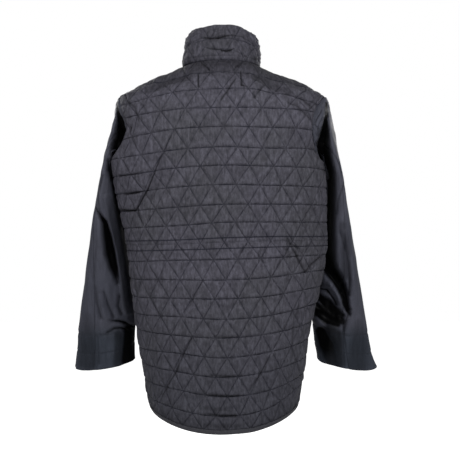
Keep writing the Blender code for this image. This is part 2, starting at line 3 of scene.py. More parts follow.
import bpy
import numpy as np
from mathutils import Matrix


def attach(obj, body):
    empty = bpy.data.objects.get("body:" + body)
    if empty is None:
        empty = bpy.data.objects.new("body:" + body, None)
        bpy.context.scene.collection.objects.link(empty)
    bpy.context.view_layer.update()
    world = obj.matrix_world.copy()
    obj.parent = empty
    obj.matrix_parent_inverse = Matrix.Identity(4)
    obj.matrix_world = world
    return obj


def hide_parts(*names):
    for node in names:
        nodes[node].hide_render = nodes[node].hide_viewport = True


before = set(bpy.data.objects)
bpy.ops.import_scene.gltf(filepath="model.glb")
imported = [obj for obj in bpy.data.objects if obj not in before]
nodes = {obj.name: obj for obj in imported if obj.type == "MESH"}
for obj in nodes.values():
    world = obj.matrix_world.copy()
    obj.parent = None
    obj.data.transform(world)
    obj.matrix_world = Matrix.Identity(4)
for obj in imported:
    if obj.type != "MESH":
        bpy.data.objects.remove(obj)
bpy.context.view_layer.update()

# Metres, unless a note says mm. The garment's front faces -Y and the wearer's left is +X.
up = np.array([0.0, 0.0, 1.0])
outwards = {"left": 1, "right": -1}

print("camera and studio")
studio = {
    "cameraPlace": (-0.016, 1.8, -0.382), "cameraTurn": (math.pi / 2, 0, math.pi), "lens": 60.4,
    "sensor": 36, "floorHeight": -1.32, "floorHalf": 6.0, "floorColour": (0.86, 0.86, 0.86),
    "floorRoughness": 0.9, "floorGlow": 1.0, "skySeen": 1.0, "skyLight": 0.11,
}

# Each light: name, place, size, power, where it points
lights = [
    ("keyLeft", (1.5, 1.3, 0.5), 0.8, 13.5, (0.0, 0.1, -0.3)),
    ("keyRight", (-1.45, 1.3, 0.42), 0.8, 8.6, (0.0, 0.1, -0.3)),
    ("keyBehind", (-0.34, 1.35, 0.46), 0.5, 10.0, (-0.12, 0.15, -0.27)),
    ("overhead", (0.0, 0.2, 1.9), 2.0, 4, (0.0, 0.0, -0.3)),
    ("frontLeft", (1.3, -1.7, 0.7), 1.0, 16, (0.0, -0.1, -0.3)),
    ("frontRight", (-1.2, -1.8, 0.5), 1.0, 13, (0.0, -0.1, -0.3)),
]


def aim(thing, place, target):
    thing.location = place
    away = np.array(place) - np.array(target)
    flat = math.hypot(away[0], away[1])
    thing.rotation_euler = (math.atan2(flat, away[2]), 0, math.atan2(away[0], -away[1]))


def link(name, data):
    thing = bpy.data.objects.new(name, data)
    scene.collection.objects.link(thing)
    return thing


scene = bpy.context.scene
camera = link("camera", bpy.data.cameras.new("camera"))
camera.location = studio["cameraPlace"]
camera.rotation_euler = studio["cameraTurn"]
camera.data.lens = studio["lens"]
camera.data.sensor_width = studio["sensor"]
scene.camera = camera
scene.view_settings.view_transform = "Standard"

for name, place, size, power, target in lights:
    lamp = bpy.data.lights.new(name, "AREA")
    lamp.shape = "SQUARE"
    lamp.size = size
    lamp.energy = power
    aim(link(name, lamp), place, target)


# A node material being put together. Most methods add a node and return its output.
class Finish:
    def __init__(self, name, colour, roughness):
        self.material = bpy.data.materials.new(name)
        self.material.use_nodes = True
        self.tree = self.material.node_tree
        self.shader = self.tree.nodes["Principled BSDF"]
        self.shader.inputs["Base Color"].default_value = (*colour, 1)
        self.shader.inputs["Roughness"].default_value = roughness

    def put(self, value, socket):
        if isinstance(value, bpy.types.NodeSocket):
            self.tree.links.new(value, socket)
        elif socket.type == "RGBA" and len(value) == 3:
            socket.default_value = (*value, 1)
        else:
            socket.default_value = value

    def node(self, kind, settings=None, **inputs):
        made = self.tree.nodes.new(kind)
        for key, value in (settings or {}).items():
            setattr(made, key, value)
        for key, value in inputs.items():
            self.put(value, made.inputs[key.replace("_", " ")])
        return made

    def sum(self, kind, *values):
        made = self.node("ShaderNodeMath", {"operation": kind})
        for place, value in enumerate(values):
            self.put(value, made.inputs[place])
        return made.outputs[0]

    # How far value is from middle
    def off(self, value, middle):
        return self.sum("ABSOLUTE", self.sum("SUBTRACT", value, middle))

    # The piece's own Object coordinates, or its UV map where one is named, stretched
    def mapped(self, stretch=(1, 1, 1), uvName=None):
        if uvName:
            vector = self.node("ShaderNodeUVMap", {"uv_map": uvName}).outputs[0]
        else:
            vector = self.node("ShaderNodeTexCoord").outputs["Object"]
        return self.node("ShaderNodeMapping", Vector=vector, Scale=stretch).outputs[0]

    def split(self, vector):
        return self.node("ShaderNodeSeparateXYZ", Vector=vector).outputs

    # Noise from the stretch of its coordinates, its scale, detail and roughness
    def grain(self, layer, uvName=None):
        stretch, scale, detail, roughness = layer
        return self.node("ShaderNodeTexNoise", Vector=self.mapped(stretch, uvName), Scale=scale,
                         Detail=detail, Roughness=roughness).outputs["Fac"]

    # value from low..high to toLow..toHigh, held at the ends
    def spread(self, value, low, high, toLow=0.0, toHigh=1.0, smooth=True):
        settings = {"interpolation_type": "SMOOTHSTEP" if smooth else "LINEAR"}
        return self.node("ShaderNodeMapRange", settings, Value=value, From_Min=low, From_Max=high,
                         To_Min=toLow, To_Max=toHigh).outputs[0]

    def mix(self, factor, first, second, blend="MIX"):
        made = self.node("ShaderNodeMix", {"data_type": "RGBA", "blend_type": blend})
        for value, place in ((factor, 0), (first, 6), (second, 7)):
            self.put(value, made.inputs[place])
        return made.outputs[2]

    # colour times amount, a single value
    def darken(self, colour, amount):
        grey = self.node("ShaderNodeCombineColor", Red=amount, Green=amount, Blue=amount)
        return self.mix(1, colour, grey.outputs[0], "MULTIPLY")

    # colour, lighter and darker as the spread of a value says
    def tint(self, colour, value, spread):
        return self.darken(colour, self.spread(value, *spread))

    # colour with painted shade: darker where the shade attribute is high, in creases, hollows and under
    # overhangs
    def paintedShade(self, colour, darkest):
        shade = self.node("ShaderNodeAttribute", {"attribute_name": "shade"}).outputs["Fac"]
        return self.darken(colour, self.spread(shade, 0.0, 1.0, 1.0, darkest, smooth=False))

    def bump(self, height, distance, strength, under=None):
        made = self.node("ShaderNodeBump", Height=height, Distance=distance, Strength=strength)
        if under is not None:
            self.put(under, made.inputs["Normal"])
        return made.outputs[0]

    def finish(self, **inputs):
        for key, value in inputs.items():
            self.put(value, self.shader.inputs[key.replace("_", " ")])
        return self.material


world = bpy.data.worlds.new("studio")
scene.world = world
world.use_nodes = True
sky, seen, both, ray = (world.node_tree.nodes["Background"],
                        *(world.node_tree.nodes.new("ShaderNode" + kind)
                          for kind in ("Background", "MixShader", "LightPath")))
for background, strength in ((sky, studio["skyLight"]), (seen, studio["skySeen"])):
    background.inputs["Color"].default_value = (1, 1, 1, 1)
    background.inputs["Strength"].default_value = strength
for start, end in ((ray.outputs["Is Camera Ray"], both.inputs[0]), (sky.outputs[0], both.inputs[1]),
                   (seen.outputs[0], both.inputs[2]),
                   (both.outputs[0], world.node_tree.nodes["World Output"].inputs[0])):
    world.node_tree.links.new(start, end)

half = studio["floorHalf"]
floorMesh = bpy.data.meshes.new("floor")
floorMesh.from_pydata(
    [(x, y, studio["floorHeight"]) for x, y in ((-half, -half), (half, -half), (half, half), (-half, half))],
    [], [(0, 1, 2, 3)])
floor = link("floor", floorMesh)
paleFloor = Finish("paleFloor", studio["floorColour"], studio["floorRoughness"])
seenDirectly = paleFloor.node("ShaderNodeLightPath").outputs["Is Camera Ray"]
floorMesh.materials.append(paleFloor.finish(
    Emission_Color=(1, 1, 1, 1),
    Emission_Strength=paleFloor.sum("MULTIPLY", seenDirectly, studio["floorGlow"])))

print("the jacket's cut")
# Rows of a table from mm to metres, but for the last column, an angle
def inMetres(rows):
    return [(*(value / 1000 for value in row[:-1]), row[-1]) for row in rows]


# Rows of the body from the hem up, in mm: heights and depths at the panel's centre, half widths, and
# the panel's edge, where turn is the angle that the row has turned through
rowNames = ("centreZ", "centreY", "leftX", "rightX", "edgeY", "edgeZ", "turn")
backRows = inMetres([
    (-802, 191, 170, 174, 0, -772, 90),     # hem
    (-703, 175, 185, 189, 0, -692, 90),
    (-600, 158, 203, 204, 0, -597, 90),     # hip
    (-500, 142, 219, 228, 0, -500, 90),
    (-420, 133, 227, 238, 0, -420, 90),     # waist
    (-330, 131, 243, 239, 0, -330, 90),
    (-262, 132, 253, 238, 0, -264, 90),     # chest
    (-222, 132, 258, 230, 0, -226, 90),     # underarm
    (-182, 131, 236, 207, 58, -190, 70),
    (-140, 129, 230, 201, 73, -145, 62),    # across the back
    (-105, 124, 233, 212, 55, -105, 70),
    (-74, 115, 239, 235, 0, -74, 90),       # shoulder tip
    (-38, 98, 166, 161, 0, -37, 90),
    (0, 72, 90, 86, 0, -4, 90),             # neck seam
])
frontRows = inMetres([
    (-790, -182, 170, 174, 0, -772, 90),    # hem
    (-698, -166, 185, 189, 0, -692, 90),
    (-600, -151, 203, 204, 0, -597, 90),    # hip
    (-500, -139, 219, 228, 0, -500, 90),
    (-420, -132, 227, 238, 0, -420, 90),    # waist
    (-335, -131, 243, 239, 0, -330, 90),
    (-270, -130, 253, 238, 0, -264, 90),    # chest
    (-232, -128, 258, 230, 0, -226, 90),    # underarm
    (-200, -126, 228, 203, -60, -188, 68),
    (-168, -122, 216, 196, -76, -142, 60),  # across the chest
    (-142, -117, 226, 216, -57, -104, 70),
    (-116, -110, 239, 235, 0, -74, 90),     # shoulder tip
    (-80, -99, 166, 161, 0, -37, 90),
    (-45, -86, 90, 86, 0, -4, 90),          # neck seam
])
cut = {
    "underarmRow": 7, "shoulderRow": 11, "neckRow": 13, "roundness": 2.3, "zipHalf": 0.006,
    "quiltedWall": 0.003, "sleeveWall": 0.0014, "seamGap": 0.0003, "normalStep": 0.004,
    "arcRows": 521, "arcColumns": 401, "centreSteps": 1301,
}


def unit(vectors):
    return vectors / np.maximum(np.linalg.norm(vectors, axis=-1, keepdims=True), 1e-12)


# A bell of height 1, by the gaussian of the distance over the width
def bell(distance, width):
    return np.exp(-(distance / width) ** 2)


# 0 up to start and 1 from start plus width on, or the other way round where width is below 0
def ramp(value, start, width):
    return np.clip((value - start) / width, 0, 1)


def smoothStep(part):
    return part * part * (3 - 2 * part)


# The columns of a table under their names
def byName(names, table):
    return dict(zip(names, np.array(table, dtype=float).T))


# Distances along a line of points from its first one
def arcLengths(points):
    return np.concatenate([[0], np.cumsum(np.linalg.norm(np.diff(points, axis=0), axis=1))])


# A cubic through values at 0, 1, 2 and so on. It may turn sharply at the corners, and it leaves
# each corner in level, a pair of the corner and its side, with no slope.
def smooth(values, at, corners=(), level=()):
    values = np.asarray(values, dtype=float)
    last = len(values) - 1
    low = np.clip(np.floor(at).astype(int), 0, last - 1)
    part = at - low

    def slope(index, towards):
        inner = (index > 0) & (index < last) & ~np.isin(index, corners)
        before = values[np.clip(index - 1, 0, last)]
        after = values[np.clip(index + 1, 0, last)]
        oneSided = towards * (values[np.clip(index + towards, 0, last)] - values[index])
        for corner, side in level:
            if side == towards:
                oneSided = np.where(index == corner, 0, oneSided)
        return np.where(inner, (after - before) / 2, oneSided)

    return (
        (2 * part**3 - 3 * part**2 + 1) * values[low]
        + (part**3 - 2 * part**2 + part) * slope(low, 1)
        + (3 * part**2 - 2 * part**3) * values[low + 1]
        + (part**3 - part**2) * slope(low + 1, -1)
    )


def rowValues(table, places):
    corners = (cut["underarmRow"], cut["shoulderRow"])
    roundEnds = ((cut["underarmRow"], 1), (cut["shoulderRow"], -1))
    values = {}
    for name, column in byName(rowNames, table).items():
        if name in ("centreZ", "centreY"):
            values[name] = smooth(column, places)
        else:
            values[name] = smooth(column, places, corners, () if name in ("edgeY", "turn") else roundEnds)
    return values


# Outer face of the body. Each row is a superellipse quarter from the panel's centre, across 0, to
# its edge, across 1, stretched to reach the edge. The fronts start clear of the zip.
def bodyPoints(table, places, across, side):
    row = rowValues(table, places)
    edgeX = row[side + "X"]
    turn = np.radians(row["turn"])
    power = 2 / cut["roundness"]
    angle = turn * across
    reach = (np.sin(angle) / np.sin(turn)) ** power
    endFall = np.maximum(np.cos(turn), 0) ** power
    fall = (np.maximum(np.cos(angle), 0) ** power - endFall) / (1 - endFall)
    x = edgeX * reach
    if table is frontRows:
        x = cut["zipHalf"] + x * (edgeX - cut["zipHalf"]) / edgeX
    y = row["edgeY"] + (row["centreY"] - row["edgeY"]) * fall
    z = row["centreZ"] + (row["edgeZ"] - row["centreZ"]) * reach**2
    return np.stack([outwards[side] * x, y, z], axis=-1)


# Outward normals of the body's face, from its directions along and across the rows
def bodyNormals(table, places, across, side):
    step = cut["normalStep"]
    along = (bodyPoints(table, places, np.minimum(across + step, 1), side)
             - bodyPoints(table, places, np.maximum(across - step, 0), side))
    high = bodyPoints(table, np.minimum(places + step, cut["neckRow"]), across, side)
    low = bodyPoints(table, np.maximum(places - step, 0), across, side)
    normal = unit(np.cross(along, high - low))
    outward = np.sum(normal[..., :2] * bodyPoints(table, places, across, side)[..., :2], axis=-1)
    return normal * np.where(outward < 0, -1, 1)[..., None]


# Arc lengths along the rows of half a panel, so that a distance sewn along the cloth can be turned
# into a place on it
class RowArcs:
    def __init__(self, table, side):
        self.places = np.linspace(0, cut["neckRow"], cut["arcRows"])
        self.share = np.linspace(0, 1, cut["arcColumns"])
        grid = bodyPoints(table, self.places[:, None], self.share[None, :], side)
        steps = np.linalg.norm(np.diff(grid, axis=1), axis=2)
        arcs = np.concatenate([np.zeros((len(grid), 1)), np.cumsum(steps, axis=1)], axis=1)
        self.full = arcs[:, -1]
        self.inverse = np.stack([np.interp(self.share, arc / arc[-1], self.share) for arc in arcs])

    def width(self, places):
        return np.interp(places, self.places, self.full)

    # Place across the panel at a distance along the row
    def acrossAt(self, places, arc):
        rows = places / self.places[-1] * (len(self.places) - 1)
        cols = np.clip(arc / self.width(places), 0, 1) * (len(self.share) - 1)
        return onGrid(self.inverse, rows, cols)


# Soft uneven values from -1 to 1: random corners one unit apart, blended between by smoothstep
def patchNoise(x, y, seed):
    size = 64
    corners = np.random.default_rng(seed).uniform(-1, 1, (size, size))
    i, j = np.floor(x).astype(int), np.floor(y).astype(int)
    u, v = smoothStep(x - i), smoothStep(y - j)
    i, j = i % (size - 1), j % (size - 1)
    low = corners[i, j] * (1 - u) + corners[i + 1, j] * u
    high = corners[i, j + 1] * (1 - u) + corners[i + 1, j + 1] * u
    return low * (1 - v) + high * v


# Uneven waves from their height, the scale and start along u and along v, and a number that is
# added to the seed
def wave(u, v, settings, seed=0):
    tall, uScale, uStart, vScale, vStart, number = settings
    return tall * patchNoise(u * uScale + uStart, v * vScale + vStart, seed + number)


creaseShape = {"bow": 0.1, "endPower": 0.6, "ridge": 0.45, "ridgePlace": 2.2, "ridgeWidth": 1.3}


# Height that the creases of a table add. Each is a trough between two points of the cloth, by a
# bell across it, with a softer ridge on either side, and it dies away at its ends.
def creaseHeight(u, z, table):
    height = np.zeros_like(u)
    for fromU, fromZ, toU, toZ, width, depth in np.array(table) / 1000:
        runU, runZ = toU - fromU, toZ - fromZ
        length = math.hypot(runU, runZ)
        along = ((u - fromU) * runU + (z - fromZ) * runZ) / length**2
        arch = np.sin(np.pi * np.clip(along, 0, 1))
        off = ((u - fromU) * runZ - (z - fromZ) * runU) / length + creaseShape["bow"] * length * arch
        ridges = bell(np.abs(off) - creaseShape["ridgePlace"] * width, creaseShape["ridgeWidth"] * width)
        height += depth * arch ** creaseShape["endPower"] * (creaseShape["ridge"] * ridges - bell(off, width))
    return height


# How far the cloth settles below the solid's shoulders: x, its reach to either side and the drop
shoulderSettle = [(-0.112, 0.03, 0.0058), (0.138, 0.026, 0.003)]

settleFrom = (-0.125, 0.06)     # the height where it starts, and how long it grows


# The left side of the body, where it is drawn in at the armhole and beside the sleeve: height, the
# side's own place and the distance inwards, in mm
leftSide = [
    (-98, 233, 0), (-116, 233, 3), (-134, 233, 10), (-156, 233, 15), (-174, 234, 10),
    (-192, 237, 3), (-206, 241, -2), (-220, 245, -6), (-236, 248, -5), (-262, 248, 0),
    (-300, 243, 3), (-340, 237, 5), (-430, 221, 6), (-520, 213, 4), (-610, 200, 0),
]

sideDraw = {"inner": 0.06, "outer": 0.014, "behind": 0.04, "allRound": (-0.255, -0.03)}


# The same points, moved inwards by the table's distance, less and less on the inner side of the
# edge by smoothstep and on its outer side by a bell; at the armhole only behind
def drawSide(points):
    x, y, z = np.moveaxis(points, -1, 0)
    table = np.array(leftSide[::-1]).T / 1000
    past = x - np.interp(z, table[0], table[1])
    inner = np.clip(1 + past / sideDraw["inner"], 0, 1)
    near = np.where(past < 0, smoothStep(inner), bell(past, sideDraw["outer"]))
    behind = np.maximum(ramp(y, 0, sideDraw["behind"]), ramp(z, *sideDraw["allRound"]))
    moved = points.copy()
    moved[..., 0] = x - np.interp(z, table[0], table[2]) * near * behind * (x > 0)
    return moved


# The same points, let down a little along the tops of the shoulders
def settle(points):
    x, z = points[..., 0], points[..., 2]
    drop = sum(depth * bell(x - middle, reach) for middle, reach, depth in shoulderSettle)
    points = drawSide(points)
    points[..., 2] = z - drop * ramp(z, *settleFrom)
    return points


drawnShape = {"wide": 0.006, "widePower": 5.0, "power": 2.0, "farthest": 8, "shade": 1.35}


# Height and painted shade of lines drawn on a side of the garment, seen straight on. Each line is a run of
# points (x, z, half width, depth, shade), in mm but for the shade, which darkens the colour. Across the line
# the trough follows a gaussian of the distance to its nearest stretch, with a flatter floor where it is wide.
def drawnLines(x, z, lines):
    height, shade = np.zeros(np.shape(x)), np.zeros(np.shape(x))
    for line in lines:
        table = np.array(line, dtype=float) / np.array([1000, 1000, 1000, 1000, 1])
        nearest = np.full(np.shape(x), drawnShape["farthest"] + 1.0)
        depth, dark = np.zeros(np.shape(x)), np.zeros(np.shape(x))
        for one, run in zip(table[:-1], np.diff(table, axis=0)):
            part = ((x - one[0]) * run[0] + (z - one[1]) * run[1]) / (run[:2] @ run[:2])
            part = np.clip(part, 0, 1)
            width = one[2] + run[2] * part
            ratio = np.hypot(x - one[0] - part * run[0], z - one[1] - part * run[1]) / width
            power = np.where(width > drawnShape["wide"], drawnShape["widePower"], drawnShape["power"])
            fall = np.exp(-np.minimum(ratio, drawnShape["farthest"]) ** power)
            closer = ratio < nearest
            nearest = np.where(closer, ratio, nearest)
            depth = np.where(closer, (one[3] + run[3] * part) * fall, depth)
            dark = np.where(closer, (one[4] + run[4] * part) * fall, dark)
        height -= depth
        shade = np.maximum(shade, drawnShape["shade"] * dark)
    return height, np.minimum(shade, 1)


# A piece from arrays of points and faces, with a UV value for each point and, in shade, how much painted
# shade darkens each point, in creases, hollows and under overhangs. A wall is laid on its inner side.
def putMesh(name, points, faces, uv=None, uvName="cloth", finish=None, wall=0.0, shade=None):
    mesh = bpy.data.meshes.new(name)
    sides = faces.shape[1]
    mesh.vertices.add(len(points))
    mesh.vertices.foreach_set("co", np.ascontiguousarray(points, dtype=np.float32).ravel())
    mesh.loops.add(faces.size)
    mesh.loops.foreach_set("vertex_index", faces.ravel().astype(np.int32))
    mesh.polygons.add(len(faces))
    mesh.polygons.foreach_set("loop_start", np.arange(0, faces.size, sides, dtype=np.int32))
    mesh.polygons.foreach_set("loop_total", np.full(len(faces), sides, dtype=np.int32))
    mesh.update(calc_edges=True)
    mesh.validate()
    if uv is not None:
        layer = mesh.uv_layers.new(name=uvName)
        layer.data.foreach_set("uv", uv.reshape(-1, 2)[faces.ravel()].astype(np.float32).ravel())
    if shade is not None:
        values = np.clip(shade, 0, 1).astype(np.float32).ravel()
        mesh.attributes.new("shade", "FLOAT", "POINT").data.foreach_set("value", values)
    mesh.shade_smooth()
    mesh.materials.append(finish)
    piece = link(name, mesh)
    if wall:
        thick = piece.modifiers.new("wall", "SOLIDIFY")
        thick.thickness = wall
        thick.offset = -1
        thick.use_rim = True
    return piece


# The corners of each square of a grid of point numbers
def squares(index):
    return [index[:-1, :-1], index[:-1, 1:], index[1:, 1:], index[1:, :-1]]


# A piece of cloth from a grid of points, in squares, with its own map in metres from the lengths
# along both directions
def putGrid(name, grid, along, across, finish, wall, turned, shade=None):
    rows, cols = grid.shape[:2]
    corners = squares(np.arange(rows * cols).reshape(rows, cols))
    faces = np.stack([corner.ravel() for corner in (corners[::-1] if turned else corners)], axis=1)
    uv = np.stack(np.broadcast_arrays(along, across), axis=-1)
    return putMesh(name, grid.reshape(-1, 3), faces, uv, "cloth", finishes[finish], wall, shade)


# 0 on a line and nearly 1 a few widths away from it, by an exponential fall
def soften(distance, width):
    return 1 - np.exp(-np.maximum(distance, 0) / width)


# Stitches, in metres: how long one is, how often they come, half its width, how far it stands up
# and how far its ends lie in the cloth
stitch = {"length": 0.0031, "space": 0.0041, "half": 0.00036, "rise": 0.00042, "sunk": 0.0001}
stitchFaces = [(1, 2, 4), (1, 4, 3), (1, 3, 2), (0, 4, 2), (0, 3, 4), (0, 2, 3)]


# Values of a grid at places between its points, mixed in straight lines
def onGrid(values, rows, cols):
    low = np.clip(np.floor(rows).astype(int), 0, values.shape[0] - 2)
    left = np.clip(np.floor(cols).astype(int), 0, values.shape[1] - 2)
    deeper = (...,) + (None,) * (values.ndim - 2)
    down, over = (rows - low)[deeper], (cols - left)[deeper]
    upper = (1 - over) * values[low, left] + over * values[low, left + 1]
    lower = (1 - over) * values[low + 1, left] + over * values[low + 1, left + 1]
    return (1 - down) * upper + down * lower


# One closed stitch after another along each run of points and outward directions: two ends in the
# cloth and a three-cornered middle
def makeStitches(name, runs):
    parts = []
    for points, normals in runs:
        arc = arcLengths(points)
        count = int(arc[-1] / stitch["space"])
        if count < 1:
            continue
        at = (np.arange(count) + 0.5) * arc[-1] / count
        tail, middle, tip = (np.stack([np.interp(at + shift, arc, points[:, k]) for k in range(3)], axis=1)
                             for shift in (-stitch["length"] / 2, 0, stitch["length"] / 2))
        outward = unit(np.stack([np.interp(at, arc, normals[:, k]) for k in range(3)], axis=1))
        aside = unit(np.cross(tip - tail, outward)) * stitch["half"]
        parts.append(np.stack([tail - stitch["sunk"] * outward, tip - stitch["sunk"] * outward,
                               middle - aside, middle + aside, middle + stitch["rise"] * outward], axis=1))
    corners = np.concatenate(parts)
    faces = (np.arange(len(corners))[:, None, None] * 5 + np.array(stitchFaces)[None]).reshape(-1, 3)
    uv = np.tile(np.array([[0, 0], [1, 0], [0.5, 0], [0.5, 1], [0.5, 0.5]]), (len(corners), 1))
    return putMesh(name, corners.reshape(-1, 3), faces, uv, "cloth", finishes["thread"])


# The parts of a line on a grid that lie inside its piece
def insideRuns(points, normals, rows, cols, inside):
    kept = inside[np.round(rows).astype(int), np.round(cols).astype(int)]
    breaks = np.nonzero(np.diff(kept.astype(int)))[0] + 1
    found = []
    for part in np.split(np.arange(len(rows)), breaks):
        if kept[part[0]] and len(part) > 2:
            found.append((onGrid(points, rows[part], cols[part]), onGrid(normals, rows[part], cols[part])))
    return found


print("finishes")
# A grain is a noise: the stretch of its coordinates, its scale, detail and roughness. A spread is a
# range of a value and the range that it becomes. A bump is its distance and strength.
fabric = {
    "lavender": (0.082, 0.0795, 0.101), "dusty": (0.074, 0.073, 0.088),
    # deep is painted shade: the colour that the lowest third darkens towards, most at the hem
    "deep": (0.06, 0.0605, 0.0755),     # of the lowest third
    # pressed is painted shade: the dark line in the grooves along the stitches
    "pressed": (0.01, 0.0105, 0.02),    # along the stitches
    "roughness": 0.62, "patches": ((1, 1, 1), 7.5, 2, 0.5), "patchSpread": (0.4, 0.66),
    "mottle": ((1, 1, 0.45), 75, 3, 0.5), "mottleSpread": (0.3, 0.7, 0.88, 1.11),
    "lowShadeSpread": (-0.8, -0.45, 0.9, 0), "crumple": ((1, 1, 0.55), 170, 3, 0.65),
    "crumpleSpread": (0.34, 0.66, 0.77, 1.22), "crumpleBump": (0.0023, 0.8),
    "streaks": ((8, 1.2, 1), 1, 2, 0.6), "fineStreaks": ((20, 3, 1), 1, 2, 0.6),
    "fineShare": 0.5, "streakSpread": (0.55, 0.95, 0.84, 1.15),
    "puckerSpread": (0, 0.018, 1, 0.5), "puckerBump": (0.0034, 0.8),
    "weave": ((1, 1, 1), 1300, 1, 0.5), "weaveBump": (0.00016, 0.6), "rowHeight": 0.0405,
    "slantSpace": 0.0435,
    "casing": (9.64, 10.23),            # the two stitched rows round the waist
    "casingSpace": 0.62,                # how near they count, next to the other rows
    "hiddenRow": (10, 0.2, 0.0009),     # its number, reach and how far off it is put
    "evenRows": (9.93, 0.42),           # where the lines are evenly strong, and its reach
    "uneven": ((2.3, 1.9, 1), 1, 1, 0.5), "unevenSpread": (0.36, 0.62, 0.35, 1),
    "levelSpread": (0, 0.0015, 0.84, 0), "slantSpread": (0, 0.0013, 0.66, 0),
    "besideSpread": (0, 0.004, 0.08, 0), "threadSpread": (0, 0.0005, 1, 0),
    "threadBump": (0.0006, 0.7), "paintedShadeTone": 0.1, "roughSpread": (0.88, 1.11, 0.52, 0.68),
    "shine": {"Sheen_Weight": 0.03, "Sheen_Roughness": 0.5, "Specular_IOR_Level": 0.1},
}


# Distances in metres to the nearest level row and the nearest slanting line of stitches. The row
# inside the waist casing is left out, and the casing's own two rows are added.
def threadLines(made, a, b):
    halfB = made.sum("MULTIPLY", b, 0.5)
    distances = []
    for value, space in ((b, fabric["rowHeight"]),
                         (made.sum("SUBTRACT", a, halfB), fabric["slantSpace"]),
                         (made.sum("ADD", a, halfB), fabric["slantSpace"])):
        shifted = made.sum("FRACT", made.sum("ADD", value, 100.5))
        distances.append(made.sum("MULTIPLY", made.off(shifted, 0.5), space))
    level = distances[0]
    row, reach, moved = fabric["hiddenRow"]
    inCasing = made.sum("LESS_THAN", made.off(b, row), reach)
    level = made.sum("ADD", level, made.sum("MULTIPLY", inCasing, moved))
    for row in fabric["casing"]:
        near = made.sum("MULTIPLY", made.off(b, row), fabric["casingSpace"] * fabric["rowHeight"])
        level = made.sum("MINIMUM", level, near)
    return level, made.sum("MINIMUM", distances[1], distances[2])


# Padded microfibre: greyish lavender, dustier in patches, with fine upright puckers whose light and shade are
# painted into the colour as streaks, a painted shade line along the stitched grooves, uneven in strength,
# painted shade deepening the lowest third towards the hem, and a soft nap. Painted shade from the shade
# attribute darkens its creases, hollows and the cloth under the collar.
def quiltedFinish():
    made = Finish("quiltedCloth", fabric["lavender"], fabric["roughness"])
    a, b = made.split(made.mapped(uvName="lattice"))[:2]
    level, slant = threadLines(made, a, b)
    patches = made.spread(made.grain(fabric["patches"]), *fabric["patchSpread"])
    colour = made.mix(patches, fabric["lavender"], fabric["dusty"])
    mottled = made.spread(made.grain(fabric["mottle"]), *fabric["mottleSpread"])
    colour = made.darken(colour, mottled)
    # Painted shade, darker towards the hem
    lowShade = made.spread(made.split(made.mapped())[2], *fabric["lowShadeSpread"])
    colour = made.mix(lowShade, colour, fabric["deep"])
    crumpled = made.grain(fabric["crumple"])
    colour = made.tint(colour, crumpled, fabric["crumpleSpread"])
    # Painted light and shade of the fine upright puckers: streaks lighten and darken the colour
    fine = made.sum("MULTIPLY", made.grain(fabric["fineStreaks"], "lattice"), fabric["fineShare"])
    streaks = made.sum("ADD", made.grain(fabric["streaks"], "lattice"), fine)
    colour = made.tint(colour, streaks, fabric["streakSpread"])
    uneven = made.spread(made.grain(fabric["uneven"], "lattice"), *fabric["unevenSpread"])
    row, reach = fabric["evenRows"]
    uneven = made.sum("MAXIMUM", uneven, made.sum("LESS_THAN", made.off(b, row), reach))
    # Painted shade in the grooves along the stitched lines, and a little beside them
    line = made.sum("MULTIPLY", uneven, made.sum("MAXIMUM", made.spread(level, *fabric["levelSpread"]),
                                                 made.spread(slant, *fabric["slantSpread"])))
    either = made.sum("MINIMUM", level, slant)
    line = made.sum("ADD", line, made.spread(either, *fabric["besideSpread"]))
    colour = made.paintedShade(made.mix(line, colour, fabric["pressed"]), fabric["paintedShadeTone"])
    puckers = made.sum("MULTIPLY", streaks, made.spread(level, *fabric["puckerSpread"]))
    normal = made.bump(puckers, *fabric["puckerBump"])
    normal = made.bump(crumpled, *fabric["crumpleBump"], normal)
    normal = made.bump(made.grain(fabric["weave"]), *fabric["weaveBump"], normal)
    thread = made.spread(either, *fabric["threadSpread"])
    normal = made.bump(made.sum("MULTIPLY", thread, -1.0), *fabric["threadBump"], normal)
    return made.finish(Base_Color=colour, Roughness=made.spread(mottled, *fabric["roughSpread"]),
                       Normal=normal, **fabric["shine"])


plainCloth = {
    "near": (0.074, 0.077, 0.1), "far": (0.084, 0.085, 0.108), "cuff": (0.049, 0.058, 0.077),
    "roughness": 0.5, "broad": ((1, 1, 0.5), 9, 2, 0.5), "broadSpread": (0.35, 0.7),
    "cuffSpread": (-0.645, -0.595, 1, 0), "cuffShare": 0.85,
    "fleck": ((1, 1, 1), 900, 2, 0.5), "fleckSpread": (0.3, 0.7, 0.86, 1.14),
    "fleckBump": (0.0001, 0.5), "streak": ((1, 1, 0.16), 120, 2, 0.5),
    "streakSpread": (0.3, 0.7, 0.9, 1.1), "paintedShadeTone": 0.02,
    "crumple": ((1.2, 1.2, 0.45), 26, 3, 0.55), "crumpleBump": (0.005, 0.45),
    "ripple": ((1, 1, 0.6), 90, 2, 0.5), "rippleBump": (0.0012, 0.4),
    "roughSpread": (0.3, 0.7, 0.46, 0.6),
    "shine": {"Sheen_Weight": 0.02, "Sheen_Roughness": 0.4, "Specular_IOR_Level": 0.08},
}


